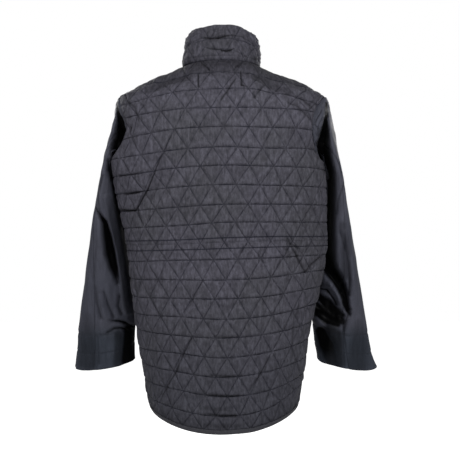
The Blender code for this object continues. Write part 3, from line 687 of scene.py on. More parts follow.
# Close smooth cloth of the sleeves: bluish black, a tight weave, short soft crumples, darker towards the
# cuffs, and painted shade from the shade attribute down its creases and in the hollows beside the body.
def plainFinish():
    made = Finish("plainCloth", plainCloth["near"], plainCloth["roughness"])
    broad = made.grain(plainCloth["broad"])
    colour = made.mix(made.spread(broad, *plainCloth["broadSpread"]), plainCloth["near"], plainCloth["far"])
    low = made.spread(made.split(made.mapped())[2], *plainCloth["cuffSpread"])
    colour = made.mix(made.sum("MULTIPLY", low, plainCloth["cuffShare"]), colour, plainCloth["cuff"])
    fleck = made.grain(plainCloth["fleck"])
    colour = made.tint(colour, fleck, plainCloth["fleckSpread"])
    colour = made.tint(colour, made.grain(plainCloth["streak"]), plainCloth["streakSpread"])
    normal = made.bump(made.grain(plainCloth["crumple"]), *plainCloth["crumpleBump"])
    normal = made.bump(made.grain(plainCloth["ripple"]), *plainCloth["rippleBump"], normal)
    return made.finish(Base_Color=made.paintedShade(colour, plainCloth["paintedShadeTone"]),
                       Roughness=made.spread(broad, *plainCloth["roughSpread"]),
                       Normal=made.bump(fleck, *plainCloth["fleckBump"], normal), **plainCloth["shine"])


woven = {
    "grain": ((1, 1, 1), 700, 2, 0.5), "ribSpread": (-1, 1, 0.82, 1.06),
    "grainSpread": (0.3, 0.7, 0.85, 1.15), "bump": (0.00025, 0.6),
    "shine": {"Sheen_Weight": 0.08, "Specular_IOR_Level": 0.3},
}


# Woven tape: fine ribs across its length, the sine of its own map in metres, and a grain
def ribbedFinish(name, colour, ribs, roughness):
    made = Finish(name, colour, roughness)
    along = made.split(made.mapped(uvName="cloth"))[0]
    rib = made.sum("SINE", made.sum("MULTIPLY", along, 2 * math.pi / ribs))
    grain = made.grain(woven["grain"])
    tone = made.sum("MULTIPLY", made.spread(rib, *woven["ribSpread"]),
                    made.spread(grain, *woven["grainSpread"]))
    return made.finish(Base_Color=made.darken(colour, tone), Roughness=roughness,
                       Normal=made.bump(made.sum("ADD", rib, grain), *woven["bump"]), **woven["shine"])


metal = {
    "colour": (0.11, 0.11, 0.115), "scuffed": (0.242, 0.242, 0.253), "roughness": 0.34,
    "scuffs": ((1, 1, 0.3), 900, 4, 0.7), "scuffSpread": (0.56, 0.74),
    "polish": ((1, 1, 1), 300, 2, 0.5), "polishSpread": (0.3, 0.7, 0.26, 0.46),
    "bump": (0.00006, 0.4), "metallic": 0.9,
}


# Dark plated metal, a little worn: lighter scuffs and uneven polish
def metalFinish():
    made = Finish("zipMetal", metal["colour"], metal["roughness"])
    scuffs = made.grain(metal["scuffs"])
    tone = made.mix(made.spread(scuffs, *metal["scuffSpread"]), metal["colour"], metal["scuffed"])
    return made.finish(Base_Color=tone, Normal=made.bump(scuffs, *metal["bump"]), Metallic=metal["metallic"],
                       Roughness=made.spread(made.grain(metal["polish"]), *metal["polishSpread"]))


# Moulded plastic or thread, slightly uneven: its colour and roughness follow one fine grain
def unevenFinish(name, colour, roughness, scale, detail, toneSpread, roughSpread, bump):
    made = Finish(name, colour, roughness)
    grain = made.grain(((1, 1, 1), scale, detail, 0.5))
    return made.finish(Base_Color=made.tint(colour, grain, toneSpread),
                       Roughness=made.spread(grain, *roughSpread), Normal=made.bump(grain, *bump))


finishes = {
    "thread": unevenFinish("thread", (0.022, 0.023, 0.033), 0.55, 2500.0, 1.0,
                           (0.3, 0.7, 0.7, 1.3), (0.3, 0.7, 0.5, 0.65), (0.00008, 0.4)),
    "quilted": quiltedFinish(),
    "plain": plainFinish(),
    "binding": ribbedFinish("hemBinding", (0.052, 0.052, 0.063), 0.0014, 0.66),
    "tape": ribbedFinish("zipTape", (0.016, 0.016, 0.019), 0.0011, 0.8),
    "teeth": unevenFinish("zipTeeth", (0.024, 0.024, 0.028), 0.38, 1200.0, 2.0,
                          (0.3, 0.7, 0.8, 1.2), (0.3, 0.7, 0.32, 0.48), (0.00005, 0.4)),
    "metal": metalFinish(),
}


print("quilted back and fronts")
# Stitched rows of the back, counted from the hem: height at the centre, the pitch of the triangles
# and how far their points lie towards the wearer's right, then how much the row hangs above the
# cloth's own level, 200 and 100 mm to the right and 100 and 200 mm to the left. All in mm.
stitchRowNames = ("height", "pitch", "shift", "farRight", "right", "left", "farLeft")
stitchRows = [
    (-802, 50.0, 11.0, 0, 0, 0, 0),          # hem
    (-772, 50.1, 11.1, 27, 5, 3, 1),
    (-732, 47.8, 11.0, 15, 4, 6, 3),
    (-693, 48.2, 9.8, 18, 7, 6, 6),
    (-653, 49.4, 10.1, 19, 8, 6, 2),
    (-612, 50.1, 10.4, 17, 6, 3, 4),
    (-573, 50.0, 8.6, 20, 6, 4, 2),
    (-530, 50.6, 8.7, 17, 5, 0, -2),
    (-490, 50.3, 6.7, 15, 5, 0, -2),
    (-446, 51.1, 6.1, 7, 3, -2, -6),
    (-409, 51.0, 4.0, 3, 3, -4, -6),         # in the waist casing
    (-366, 50.8, 1.6, 1, 1, -7, -11),
    (-327, 51.1, 3.6, 1, 1, -6, -12),
    (-284, 51.4, 3.5, -1, -1, -5, -14),
    (-242, 53.7, 4.4, 0, -1, -5, -15),
    (-202, 54.3, 5.2, 8, 0, -4, -10),
    (-158, 54.0, 2.7, 5, 1, -3, -12),
    (-116, 55.8, 2.4, 0, 1, -2, -11),
    (-72, 55.6, 0.6, -25, -4, -6, -26),
    (-31, 55.5, 0.5, -40, -11, -10, -36),
    (13, 55.5, 0.5, -40, -11, -10, -36),     # above the neck seam
]
# A wave is its height, the scale and start along u and along v, and a number for its seed
quilt = {
    "top": 19.64,               # where the neck seam cuts the rows
    "columns": 15,              # half triangles on either side of the centre
    "frontColumns": 14, "frontPitch": 0.0505,
    "frontEven": 13,            # the rows of the fronts are evenly spaced above this one
    "fineness": (0, 0.035, 0.085, 0.15, 0.23, 0.315, 0.405, 0.5, 0.58, 0.64, 0.72, 0.8, 0.875, 0.935,
                 0.972),
    "frontFineness": (0, 0.05, 0.13, 0.23, 0.36, 0.5, 0.64, 0.77, 0.87, 0.95), "pillow": 0.0026,
    "pillowWidth": 0.0027, "uneven": (0.28, 1.7, 20, 1.3, 9, 0),
    "sag": 0.75,                # how much fuller a pad is below than above, less towards the neck
    "sagEnd": 14, "sagFade": 6, "sagLeast": 0.35, "ripple": (0.001, 9, 30, 1.1, 5, 1),
    "rippleReach": 0.012, "groove": 0.0012, "slantGroove": 0.0007, "grooveWidth": 0.0011,
    "casingGroove": 0.0013, "casingWidth": 0.0016, "puckers": (0.0016, 1, 0, 2.2, 4, 2),
    "puckerRows": (9.45, 0.32), "sunk": 0.0009,
    "waves": ((0.0016, 11, 8, 9, 12, 5), (0.0016, 30, 8, 22, 12, 6), (0.0009, 95, 8, 24, 12, 8),
              (0.0005, 170, 8, 75, 12, 9)),
    "seamWidth": 0.0065,        # how far the cloth is held down from each edge
    "hemWidth": 0.005, "neckWidth": 0.006, "zipWidth": 0.004, "seamSunk": 0.0012,
    "collarShade": (0.62, 0.036), "hemShade": (0.3, 0.02), "seamShade": (0.45, 0.0035),
    "stitchStart": 0.003,
    "faintRow": 10,             # inside the waist casing
    "faint": 0.5, "hangSpace": 0.1, "hangEnds": 1.15, "hangHem": 0.9, "hangNeck": 0.8,
    "edgeSteps": 12, "wander": (0.001, 0.9, 3, 0.8, 20, 3), "frontHang": 0.035,
    "frontWave": {"left": (1, 9, 4, 0.7, 7, 23), "right": (1, 9, 4, 0.7, 7, 29)},
    "frontSettled": (0.8, 0.2), "frontSeed": {"left": 41, "right": 47}, "backSeed": 11,
}

# Lines drawn on the back, seen from behind: runs of (x, z, half width, depth, shade), in mm but for the
# shade, which is painted shade in the cloth's colour
backLines = [
    [(42, -490, 1.5, 1.4, 0.3), (63, -528, 1.7, 1.6, 0.35), (85, -566, 1.5, 1.2, 0.3)],
    [(50, -35, 7.1, 2.4, 0.22), (15, -34, 7.5, 2.4, 0.22), (-16, -34, 7.5, 2.4, 0.22),
     (-51, -35, 7.1, 2.4, 0.22)],
    [(166, -71, 10, 2, 0.36), (122, -49, 11.1, 2.6, 0.46), (81, -44, 9.9, 2.6, 0.42)],
    [(-69, -42, 9.9, 2.6, 0.4), (-102, -55, 11, 2.6, 0.4), (-148, -78, 9.9, 2, 0.3)],
    [(80, -83, 6.6, 1.5, 0.1), (17, -79, 6.5, 1.5, 0.1), (-38, -81, 6.5, 1.5, 0.1)],
    [(36, -789, 4.6, 1.2, 0.3), (1, -793, 5.4, 1.2, 0.35), (-37, -792, 4.6, 1.2, 0.3)],
    [(47, -756, 3.4, 1.2, 0.25), (18, -758, 4.6, 1.2, 0.3), (-20, -757, 3.8, 1.2, 0.25)],
    [(99, -649, 3.4, 1, 0.22), (69, -652, 3.4, 1, 0.22)],
    [(18, -609, 3, 1, 0.22), (-12, -609, 3.8, 1, 0.25), (-33, -609, 3, 1, 0.2)],
    [(49, -7, 2.2, 1.8, 0.8), (40, -17, 2.2, 2, 0.9), (29, -26, 2, 1.4, 0.7)],
    [(35, -5, 2, 1.4, 0.7), (23, -23, 2, 1.2, 0.6)],
    [(-43, -7, 2, 1.6, 0.75), (-32, -18, 2.2, 1.8, 0.8), (-23, -28, 2, 1.4, 0.6)],
    [(-29, -50, 2, 1.2, 0.55), (-14, -72, 2, 1.6, 0.7), (4, -100, 2, 1.4, 0.6)],
    [(-100, -48, 2, 1.2, 0.5), (-86, -68, 2, 1.4, 0.65), (-68, -94, 2, 1.4, 0.6)],
    [(106, -160, 1.7, 0.8, 0.1), (125, -208, 1.7, 1.6, 0.3), (137, -227, 1.6, 3.4, 0.6),
     (150, -257, 1.6, 4.2, 0.65), (166, -294, 1.8, 5, 0.8), (180, -318, 2, 5.5, 0.95),
     (189, -333, 1.9, 5, 1), (184, -351, 1.8, 2, 0.35), (177, -369, 1.8, 1, 0.1)],
    [(121, -219, 3.9, -2.2, 0), (137, -256, 4.4, -2.6, 0), (154, -294, 4.4, -2.4, 0),
     (169, -323, 3.5, -1.6, 0)],
    [(130, -251, 3.3, 1.6, 0.3), (137, -277, 3.3, 1.8, 0.3), (155, -316, 3.1, 1.4, 0.2)],
    [(222, -302, 2, 3, 0.6), (204, -301, 2.2, 4.5, 0.9), (187, -299, 2.2, 4, 0.8), (173, -297, 1.8, 2, 0.4)],
    [(239, -336, 2.3, 4, 0.9), (215, -339, 2.5, 5, 0.9), (197, -339, 2.2, 4, 0.9), (190, -336, 1.8, 3, 0.6)],
    [(231, -261, 2, 3, 0.5), (208, -260, 2, 2.5, 0.4), (182, -258, 1.8, 1.5, 0.2)],
    [(64, -610, 1.5, 1.6, 0.2), (73, -627, 1.7, 3, 0.45), (83, -645, 1.9, 4, 0.7),
     (88, -657, 1.5, 2.5, 0.35), (99, -681, 1.9, 4, 0.6), (109, -700, 1.7, 3, 0.45),
     (118, -716, 1.9, 3.6, 0.55), (135, -752, 1.5, 1.6, 0.2)],
    [(-141, -399, 2.2, 2.5, 0.35), (-161, -435, 2.4, 4, 0.6), (-182, -475, 2.4, 3, 0.6)],
    [(-182, -475, 2.2, 3, 0.6), (-198, -458, 2.4, 4, 0.6), (-219, -443, 2.3, 3, 0.5)],
    [(-147, -410, 2.2, 2.5, 0.4), (-161, -419, 2.4, 3, 0.5), (-172, -424, 2, 2, 0.3)],
    [(-132, -419, 2, 2, 0.3), (-145, -430, 2.2, 2.5, 0.3), (-149, -443, 2, 1.5, 0.2)],
    [(-143, -101, 2.6, 2.5, 0.3), (-164, -108, 3.1, 3.5, 0.4), (-182, -125, 2.7, 3, 0.4),
     (-194, -137, 2.2, 2, 0.2)],
    [(-162, -88, 2.7, 2, 0.25), (-183, -97, 2.9, 3, 0.35), (-202, -113, 2.7, 3, 0.35)],
    [(214, -95, 2.7, 2.5, 0.3), (197, -109, 2.9, 3, 0.35), (189, -133, 2.6, 2.5, 0.3),
     (184, -153, 2.2, 1.5, 0.15)],
    [(191, -91, 2.7, 2, 0.25), (176, -109, 2.9, 3, 0.3), (166, -125, 2.6, 2, 0.2)],
    [(214, -153, 2.2, 3, 0.9), (213, -163, 2.2, 3, 0.9)],
    [(-202, -178, 2.9, 3, 0.5), (-212, -190, 2.9, 4, 0.7), (-209, -206, 2.7, 3, 0.6)],
    [(202, -476, 2.2, 1.5, 0.25), (197, -539, 2.2, 1.5, 0.3), (200, -614, 2.3, 1.5, 0.25)],
    [(32, -767, 2.5, 2, 0.45), (1, -771, 2.9, 2.5, 0.6), (-29, -771, 2.5, 2, 0.5)],
    [(34, -729, 2.5, 2, 0.4), (1, -731, 2.9, 2.2, 0.55), (-33, -731, 2.5, 2, 0.4)],
    [(22, -689, 2.5, 1.8, 0.35), (-8, -691, 3, 2, 0.45), (-37, -690, 2.5, 1.5, 0.3)],
    [(-58, -719, 2.5, 2, 0.3), (-84, -684, 2.5, 2.2, 0.3), (-101, -656, 2.1, 1.5, 0.15)],
    [(155, -535, 3.1, 1.5, 0.15), (136, -573, 3.5, 2, 0.2), (129, -609, 3, 1.2, 0.12)],
    [(-170, -536, 3.3, 2, 0.2), (-156, -583, 3.5, 2.2, 0.25), (-151, -626, 3.1, 1.5, 0.15)],
    [(54, -37, 1.8, 1.2, 0.9), (53, -67, 1.8, 1.2, 0.9)],
    [(-40, -30, 1.8, 1.2, 0.9), (-41, -66, 1.8, 1.2, 0.9), (-47, -67, 1.8, 1, 0.7)],
    [(16, -209, 3.2, 1, 0.08), (23, -265, 3.7, 1.2, 0.1), (14, -317, 3.2, 1, 0.08)],
]
# Softer creases in mm, from (u, z) to (u, z), width and depth. u runs round the back from its
# centre.
backCreases = [
    (118, -155, 142, -200, 6, 1.6), (180, -330, 230, -322, 5, 2), (165, -292, 215, -300, 5, 1.8),
    (200, -500, 232, -545, 7, 2.6), (-120, -560, -150, -640, 8, 2), (20, -700, 55, -770, 8, 1.8),
    (-60, -720, -85, -780, 7, 1.8), (-205, -560, -225, -640, 7, 2.4),
]
# Creases of a front in mm, with u round from the zip
frontCreases = [
    (190, -250, 235, -330, 4, 3.4), (150, -215, 200, -245, 4, 2.6), (60, -400, 110, -470, 5, 2.6),
    (130, -430, 210, -405, 4.5, 2.8), (80, -600, 120, -690, 5.5, 2.8),
    (200, -560, 225, -650, 5, 2.6), (40, -700, 70, -765, 5, 2), (50, -150, 100, -180, 4.5, 2),
    (150, -140, 180, -175, 3.5, 2.2),
]


# Finely spaced lattice lines from first to last, closer together beside each stitched line
def latticeSteps(first, last, fineness):
    steps = (np.arange(first, last)[:, None] + np.array(fineness)[None, :]).ravel()
    return np.append(steps, last).astype(float)


# The lattice lines of the stitched rows, from the hem to the neck seam
def levelSteps(fineness):
    b = latticeSteps(0, len(stitchRows) - 1, fineness)
    return np.append(b[b < quilt["top"] - 0.01], quilt["top"])[:, None]


def stitchValue(name, rowNumber):
    return np.interp(rowNumber, np.arange(len(stitchRows)), byName(stitchRowNames, stitchRows)[name]) / 1000


# How far a stitched row lies above the cloth's own level, by a cubic through its five places and
# two more beyond, mixed in a straight line between one row and the next
def stitchHang(rowNumber, u):
    data = byName(stitchRowNames, stitchRows)
    hang = np.zeros(np.broadcast(rowNumber, u).shape)
    at = np.clip(u / quilt["hangSpace"] + 3, 0, 6)
    for row in range(len(stitchRows)):
        share = np.clip(1 - np.abs(rowNumber - row), 0, 1)
        far, near, nearLeft, farLeft = (data[name][row] / 1000 for name in stitchRowNames[3:])
        ends = (quilt["hangEnds"] * far, quilt["hangEnds"] * farLeft)
        hang += share * smooth([ends[0], far, near, 0, nearLeft, farLeft, ends[1]], at)
    return hang


# Distances to the nearest level row and the nearest two slanting rows of stitches
def lineDistances(a, b, pitch, rowHeight):
    slant = pitch * rowHeight / np.hypot(pitch / 2, rowHeight)
    return [np.abs(value - np.round(value)) * space
            for value, space in ((b, rowHeight), (a - b / 2, slant), (a + b / 2, slant))]


# Height of the padded triangles: the product of three soft walls, one along each stitched line,
# fuller just above a level row, and uneven from one triangle to the next. Grooves are pressed in
# along the lines, and the cloth puckers above the casing.
def pillowHeight(a, b, pitch, rowHeight, seed):
    level, rising, falling = lineDistances(a, b, pitch, rowHeight)
    faint = np.where(np.round(b) == quilt["faintRow"], quilt["faint"], 1)
    width, groove = quilt["pillowWidth"], quilt["grooveWidth"]
    pillow = (1 - faint * (1 - soften(level, width))) * soften(rising, width) * soften(falling, width)
    fade = np.clip((quilt["sagEnd"] - b) / quilt["sagFade"], quilt["sagLeast"], 1)
    sag = 1 + quilt["sag"] * (0.5 - (b - np.floor(b))) * fade
    height = quilt["pillow"] * pillow * sag * (1 + wave(a, b, quilt["uneven"], seed))
    ripple = wave(a, b, quilt["ripple"], seed) * np.exp(-level / quilt["rippleReach"])
    height = height + ripple * np.sqrt(np.maximum(pillow, 0))
    slanting = quilt["slantGroove"] * bell(np.minimum(rising, falling), groove)
    height -= np.maximum(slanting, quilt["groove"] * faint * bell(level, groove))
    for line in fabric["casing"]:
        height -= quilt["casingGroove"] * bell(np.abs(b - line) * rowHeight, quilt["casingWidth"])
    middle, reach = quilt["puckerRows"]
    height += wave(a * 8 + b * 3, b, quilt["puckers"], seed) * bell(b - middle, reach)
    return height - quilt["sunk"]


# A quilted panel on a lattice of stitched rows and slanting lines. u is measured along the row, and
# points past the panel's edge are drawn back to it, so that the last triangles end on the seam.
def quiltedPanel(name, table, sides, a, b, u, place, edges, creases, lines, seed, turned):
    rowHeight = fabric["rowHeight"]
    clipped = np.clip(u, edges[0], edges[1])
    points, normals = np.zeros(u.shape + (3,)), np.zeros(u.shape + (3,))
    seam = np.full(u.shape, 1.0)
    for side, arcs, mask in sides:
        across = np.where(mask, arcs.acrossAt(place, np.abs(clipped)), 0)
        points = np.where(mask[..., None], bodyPoints(table, place, across, side), points)
        normals = np.where(mask[..., None], bodyNormals(table, place, across, side), normals)
        seam = np.where(mask, arcs.width(place) - np.abs(clipped), seam)
    z = points[..., 2]
    height = pillowHeight(a, b, stitchValue("pitch", b), rowHeight, seed) + creaseHeight(clipped, z, creases)
    drawn, shade = drawnLines(points[..., 0], z, lines)
    height += drawn
    for settings in quilt["waves"]:
        height += wave(clipped, z, settings, seed)
    fromHem, fromNeck = b * rowHeight, (quilt["top"] - b) * rowHeight
    held = soften(seam, quilt["seamWidth"]) * soften(fromHem, quilt["hemWidth"])
    held = held * soften(fromNeck, quilt["neckWidth"])
    if table is frontRows:
        held = held * soften(np.abs(clipped), quilt["zipWidth"])
    height = height * held - quilt["seamSunk"] * (1 - held)
    points = settle(points + normals * height[..., None])
    # Painted shade: the yoke darker under the collar, and the cloth along the hem and the seams
    for distance, (dark, reach) in ((fromNeck, quilt["collarShade"]), (fromHem, quilt["hemShade"]),
                                    (seam, quilt["seamShade"])):
        shade = np.maximum(shade, dark * bell(distance, reach))
    panel = finishPanel(name, points, a, b, u, edges, turned, shade)
    inside = (u > edges[0] + quilt["stitchStart"]) & (u < edges[1] - quilt["stitchStart"])
    return panel, stitchPanel(name.replace("quilted", "stitches"), points, normals, inside, a, b)


# Half a triangle's fine columns, and the number of the lattice's first half column
def latticeCounts(a):
    return round((a.shape[1] - 1) / (2 * (a[0, -1] - a[0, 0]))), int(round(2 * a[0, 0]))


# Stitches along the level rows, the two rows of the casing and both sets of slanting lines
def stitchPanel(name, points, normals, inside, a, b):
    rows, cols = inside.shape
    n, first = latticeCounts(a)
    across, downward = np.arange(cols).astype(float), np.arange(rows - 1).astype(float)
    runs = []
    levels = [n * k for k in range(1, (rows - 2) // n + 1) if k != quilt["faintRow"]]
    levels += [float(np.interp(line, b[:, 0], np.arange(rows))) for line in fabric["casing"]]
    for level in levels:
        runs += insideRuns(points, normals, np.full(cols, float(level)), across, inside)
    for j in range(-rows // n - 1, (cols + rows) // n + 1):
        for sign in (1, -1):
            column = n * j + sign * downward
            held = (column >= 0) & (column <= cols - 1)
            if (first + j) % 2 == 0 and held.any():
                runs += insideRuns(points, normals, downward[held], column[held], inside)
    return makeStitches(name, runs)


# Triangles of a lattice, cut along the stitched lines. Points past the panel's edge are one.
def finishPanel(name, points, a, b, u, edges, turned, shade):
    rows, cols = u.shape
    n, first = latticeCounts(a)
    firstOut = np.sum(u < edges[1], axis=1)[:, None]
    lastOut = (cols - 1 - np.sum(u > edges[0], axis=1))[:, None]
    kept = np.clip(np.arange(cols)[None, :], np.minimum(lastOut, cols - 1), np.minimum(firstOut, cols - 1))
    corner = squares(np.arange(rows)[:, None] * cols + kept)
    cellColumn, cellRow = (np.arange(cols - 1) // n)[None, :] + first, (np.arange(rows - 1) // n)[:, None]
    rising = ((cellColumn + cellRow) % 2 == 0)[..., None]
    faces = np.concatenate([
        np.where(rising, np.stack([corner[k] for k in one], -1), np.stack([corner[k] for k in two], -1))
        .reshape(-1, 3) for one, two in (((0, 1, 2), (0, 1, 3)), ((0, 2, 3), (1, 2, 3)))])
    whole = (faces != np.roll(faces, 1, axis=1)).all(axis=1)
    used, faces = np.unique(faces[whole], return_inverse=True)
    faces = faces.reshape(-1, 3)
    if turned:
        faces = faces[:, ::-1]
    uv = np.stack([a, np.broadcast_to(b, a.shape)], axis=-1).reshape(-1, 2)[used]
    return putMesh(name, points.reshape(-1, 3)[used], faces, uv, "lattice", finishes["quilted"],
                   0.0 if name == "quilted_back" else cut["quiltedWall"], shade.ravel()[used])


# Places from the hem to the neck seam and the height of a panel's centre at each
def centreHeights(table):
    places = np.linspace(0, cut["neckRow"], cut["centreSteps"])
    return places, rowValues(table, places)["centreZ"]


# Place of a stitched row on the back, from its height at the centre and how it hangs
def backPlace(b, u):
    places, heights = centreHeights(backRows)
    edge = ramp(b, 0, quilt["hangHem"]) * ramp(b, quilt["top"], -quilt["hangNeck"])
    fixed = np.interp(b, [0, quilt["top"]], [0, cut["neckRow"]])
    level = np.interp(stitchValue("height", b) + stitchHang(b, u) * edge, heights, places)
    atEnd = (b <= 0) | (b >= quilt["top"])
    return np.where(atEnd, fixed, np.clip(level, 0, cut["neckRow"]))


# Where each stitched row of the back meets the edge, found by stepping towards it
def backEdge(b, side):
    arcs = backArcs[side]
    reach = arcs.width(backPlace(b, np.zeros_like(b)))
    for step in range(quilt["edgeSteps"]):
        reach = arcs.width(backPlace(b, outwards[side] * reach))
    return reach


backArcs = {side: RowArcs(backRows, side) for side in outwards}
frontArcs = {side: RowArcs(frontRows, side) for side in outwards}


def makeBack():
    b = levelSteps(quilt["fineness"])
    a = latticeSteps(-quilt["columns"], quilt["columns"], quilt["fineness"])[None, :] / 2
    u = stitchValue("pitch", b) * a - stitchValue("shift", b)
    u = u + wave(b, a, quilt["wander"])
    edges = (-backEdge(b, "right"), backEdge(b, "left"))
    place = backPlace(b, np.clip(u, *edges))
    a, b = np.broadcast_arrays(a, b)
    sides = [("left", backArcs["left"], u >= 0), ("right", backArcs["right"], u < 0)]
    return quiltedPanel("quilted_back", backRows, sides, a, b, u, place, edges, backCreases,
                        backLines, quilt["backSeed"], True)


# A front: its rows start level with the back's at the side seam, hang unevenly in between and are
# evenly spaced above the chest
def makeFront(side):
    b = levelSteps(quilt["frontFineness"])
    a = latticeSteps(0, quilt["frontColumns"], quilt["frontFineness"])[None, :] / 2
    seamPlace = backPlace(b, outwards[side] * backEdge(b, side))
    places, heights = centreHeights(frontRows)
    even, top = quilt["frontEven"], quilt["top"]
    chest = np.interp(even, b[:, 0], np.interp(seamPlace[:, 0], places, heights))
    level = chest + (b - even) * (heights[-1] - chest) / (top - even)
    seamPlace = np.where(b > even, np.interp(level, heights, places), seamPlace)
    u = quilt["frontPitch"] * a + np.zeros_like(b)
    edge = frontArcs[side].width(seamPlace)
    hang = quilt["frontHang"] * np.sin(np.pi * np.clip(b / top, 0, 1))
    place = seamPlace + hang * wave(u, b, quilt["frontWave"][side])
    place = np.where((b <= 0) | (b >= top), seamPlace, np.clip(place, 0, cut["neckRow"]))
    place = np.where(u >= edge, seamPlace, place)
    place = place + (seamPlace - place) * ramp(u / edge, *quilt["frontSettled"])
    a, b = np.broadcast_arrays(a, b)
    edges = (np.full_like(edge, -1.0), edge)
    sides = [(side, frontArcs[side], np.ones(u.shape, dtype=bool))]
    return quiltedPanel("quilted_front_" + side, frontRows, sides, a, b, u, place, edges,
                        frontCreases, [], quilt["frontSeed"][side], side == "right")


print("plain sleeves")
# Level ovals of the sleeves in mm, from the bicep to the cuff. tilt, in degrees, turns the back of
# each oval outwards.
sleeveNames = ("height", "leftX", "rightX", "centreY", "halfX", "halfY", "tilt")
sleeveSections = inMetres([
    (-262, 252, 247, -50, 24, 96, 14),      # bicep
    (-360, 266, 258, -54, 33, 90, 13),
    (-460, 273, 268, -58, 48, 77, 9),       # elbow
    (-560, 277, 275, -61, 62, 59, 4),
    (-640, 281, 287, -62, 67, 42, 0),
    (-702, 286, 298, -62, 69.5, 31, 0),     # cuff
])
sleeve = {
    "ring": 20,                 # columns that the seams and folds are counted in
    "fine": 9,                  # fine columns for each of them
    "columnWidth": 0.0035,      # of the cloth's own map
    "crownRows": 75, "tubeRows": 160, "crownSteps": (0, 0.1, 0.22, 0.38, 0.58, 0.79, 1),
    "crownPart": 0.4,           # of the sleeve's length, where the crown ends
    "crownReach": 0.006, "crownReachShare": 0.1, "crownClear": 0.25, "arrivalShare": 0.28,
    "arrivalStep": 9, "ringPasses": 30, "leavingPasses": 12, "armholeGap": 0.0006,
    "tuck": 0.007,              # how far the seam allowance runs under the body's edge
    "tuckDepth": 0.0022, "tuckShare": 1.8, "tuckDrop": 0.0015,
    "tuckRise": 0.02,           # of the allowance under the arm, from the next entry's heights
    "underarm": (-0.085, -0.03), "cuffSlant": 0.01, "cuffBackDrop": 0.01, "bodySteps": 40,
    "bodyGap": 0.004, "gapStart": -0.176, "gapFade": 0.034, "sharpness": 50, "shiftPower": 0.6,
    "topFade": 0.03,
    "facing": (-0.15, 0.45),    # how far backwards the cloth faces where lines are drawn on it
    "rearFade": 0.03, "foldPower": 0.7, "hindSeam": {"left": 4, "right": 5}, "foreSeam": 13,
    "seamSunk": 0.001, "seamWidth": 0.003, "seed": {"left": 61, "right": 67},
    "waves": ((0.0016, 24, 9, 0), (0.0009, 9, 24, 1)),    # height, degrees, scale down it, seed
    "crumple": (0.0011, 5, 46, 2), "crumpleReach": 0.1,
    "swell": (0.0024, 0.018, 0.012),      # a roll below the armhole's seam: height, place, width
    "swellFrom": 0.004, "reliefFade": 0.02,
    "cuffLines": (0.084, 0.088, 0.04),   # above the cuff's edge, in metres
    "lineDepth": 0.0011, "lineWidth": 0.0022, "lineShade": (0.35, 0.0016),
    "topShade": (0.3, 0.03), "edgeBead": (0.0008, 0.006),
}

# How far the outer side of a sleeve stands out from its solid, down its length: z and the
# distance, in mm
outerShift = {
    "left": [
        (-62, 3.5), (-75, 3.8), (-102, 1.5), (-116, -1.5), (-130, -2), (-144, -2.6), (-158, -3.6),
        (-172, -5), (-200, -5.6), (-214, -4), (-242, -3.2), (-284, -2), (-330, -1), (-410, 0.8),
        (-480, 1.4), (-508, 0), (-590, 0.8), (-620, 3.0), (-640, 2), (-660, 0), (-720, 0),
    ],
    "right": [
        (-60, 7), (-75, 6.5), (-104, 5.2), (-130, 7), (-158, 7.8), (-172, 5.4), (-186, 3.2),
        (-200, 0), (-214, -3), (-228, -5), (-242, -6.4), (-258, -6.4), (-272, -5.4), (-300, -3.6),
        (-340, -1.8), (-440, -1), (-540, -1.2), (-590, -2.2), (-634, -3.8), (-662, -5.6),
        (-680, -6.4), (-695, -4.4), (-710, -1),
    ],
}

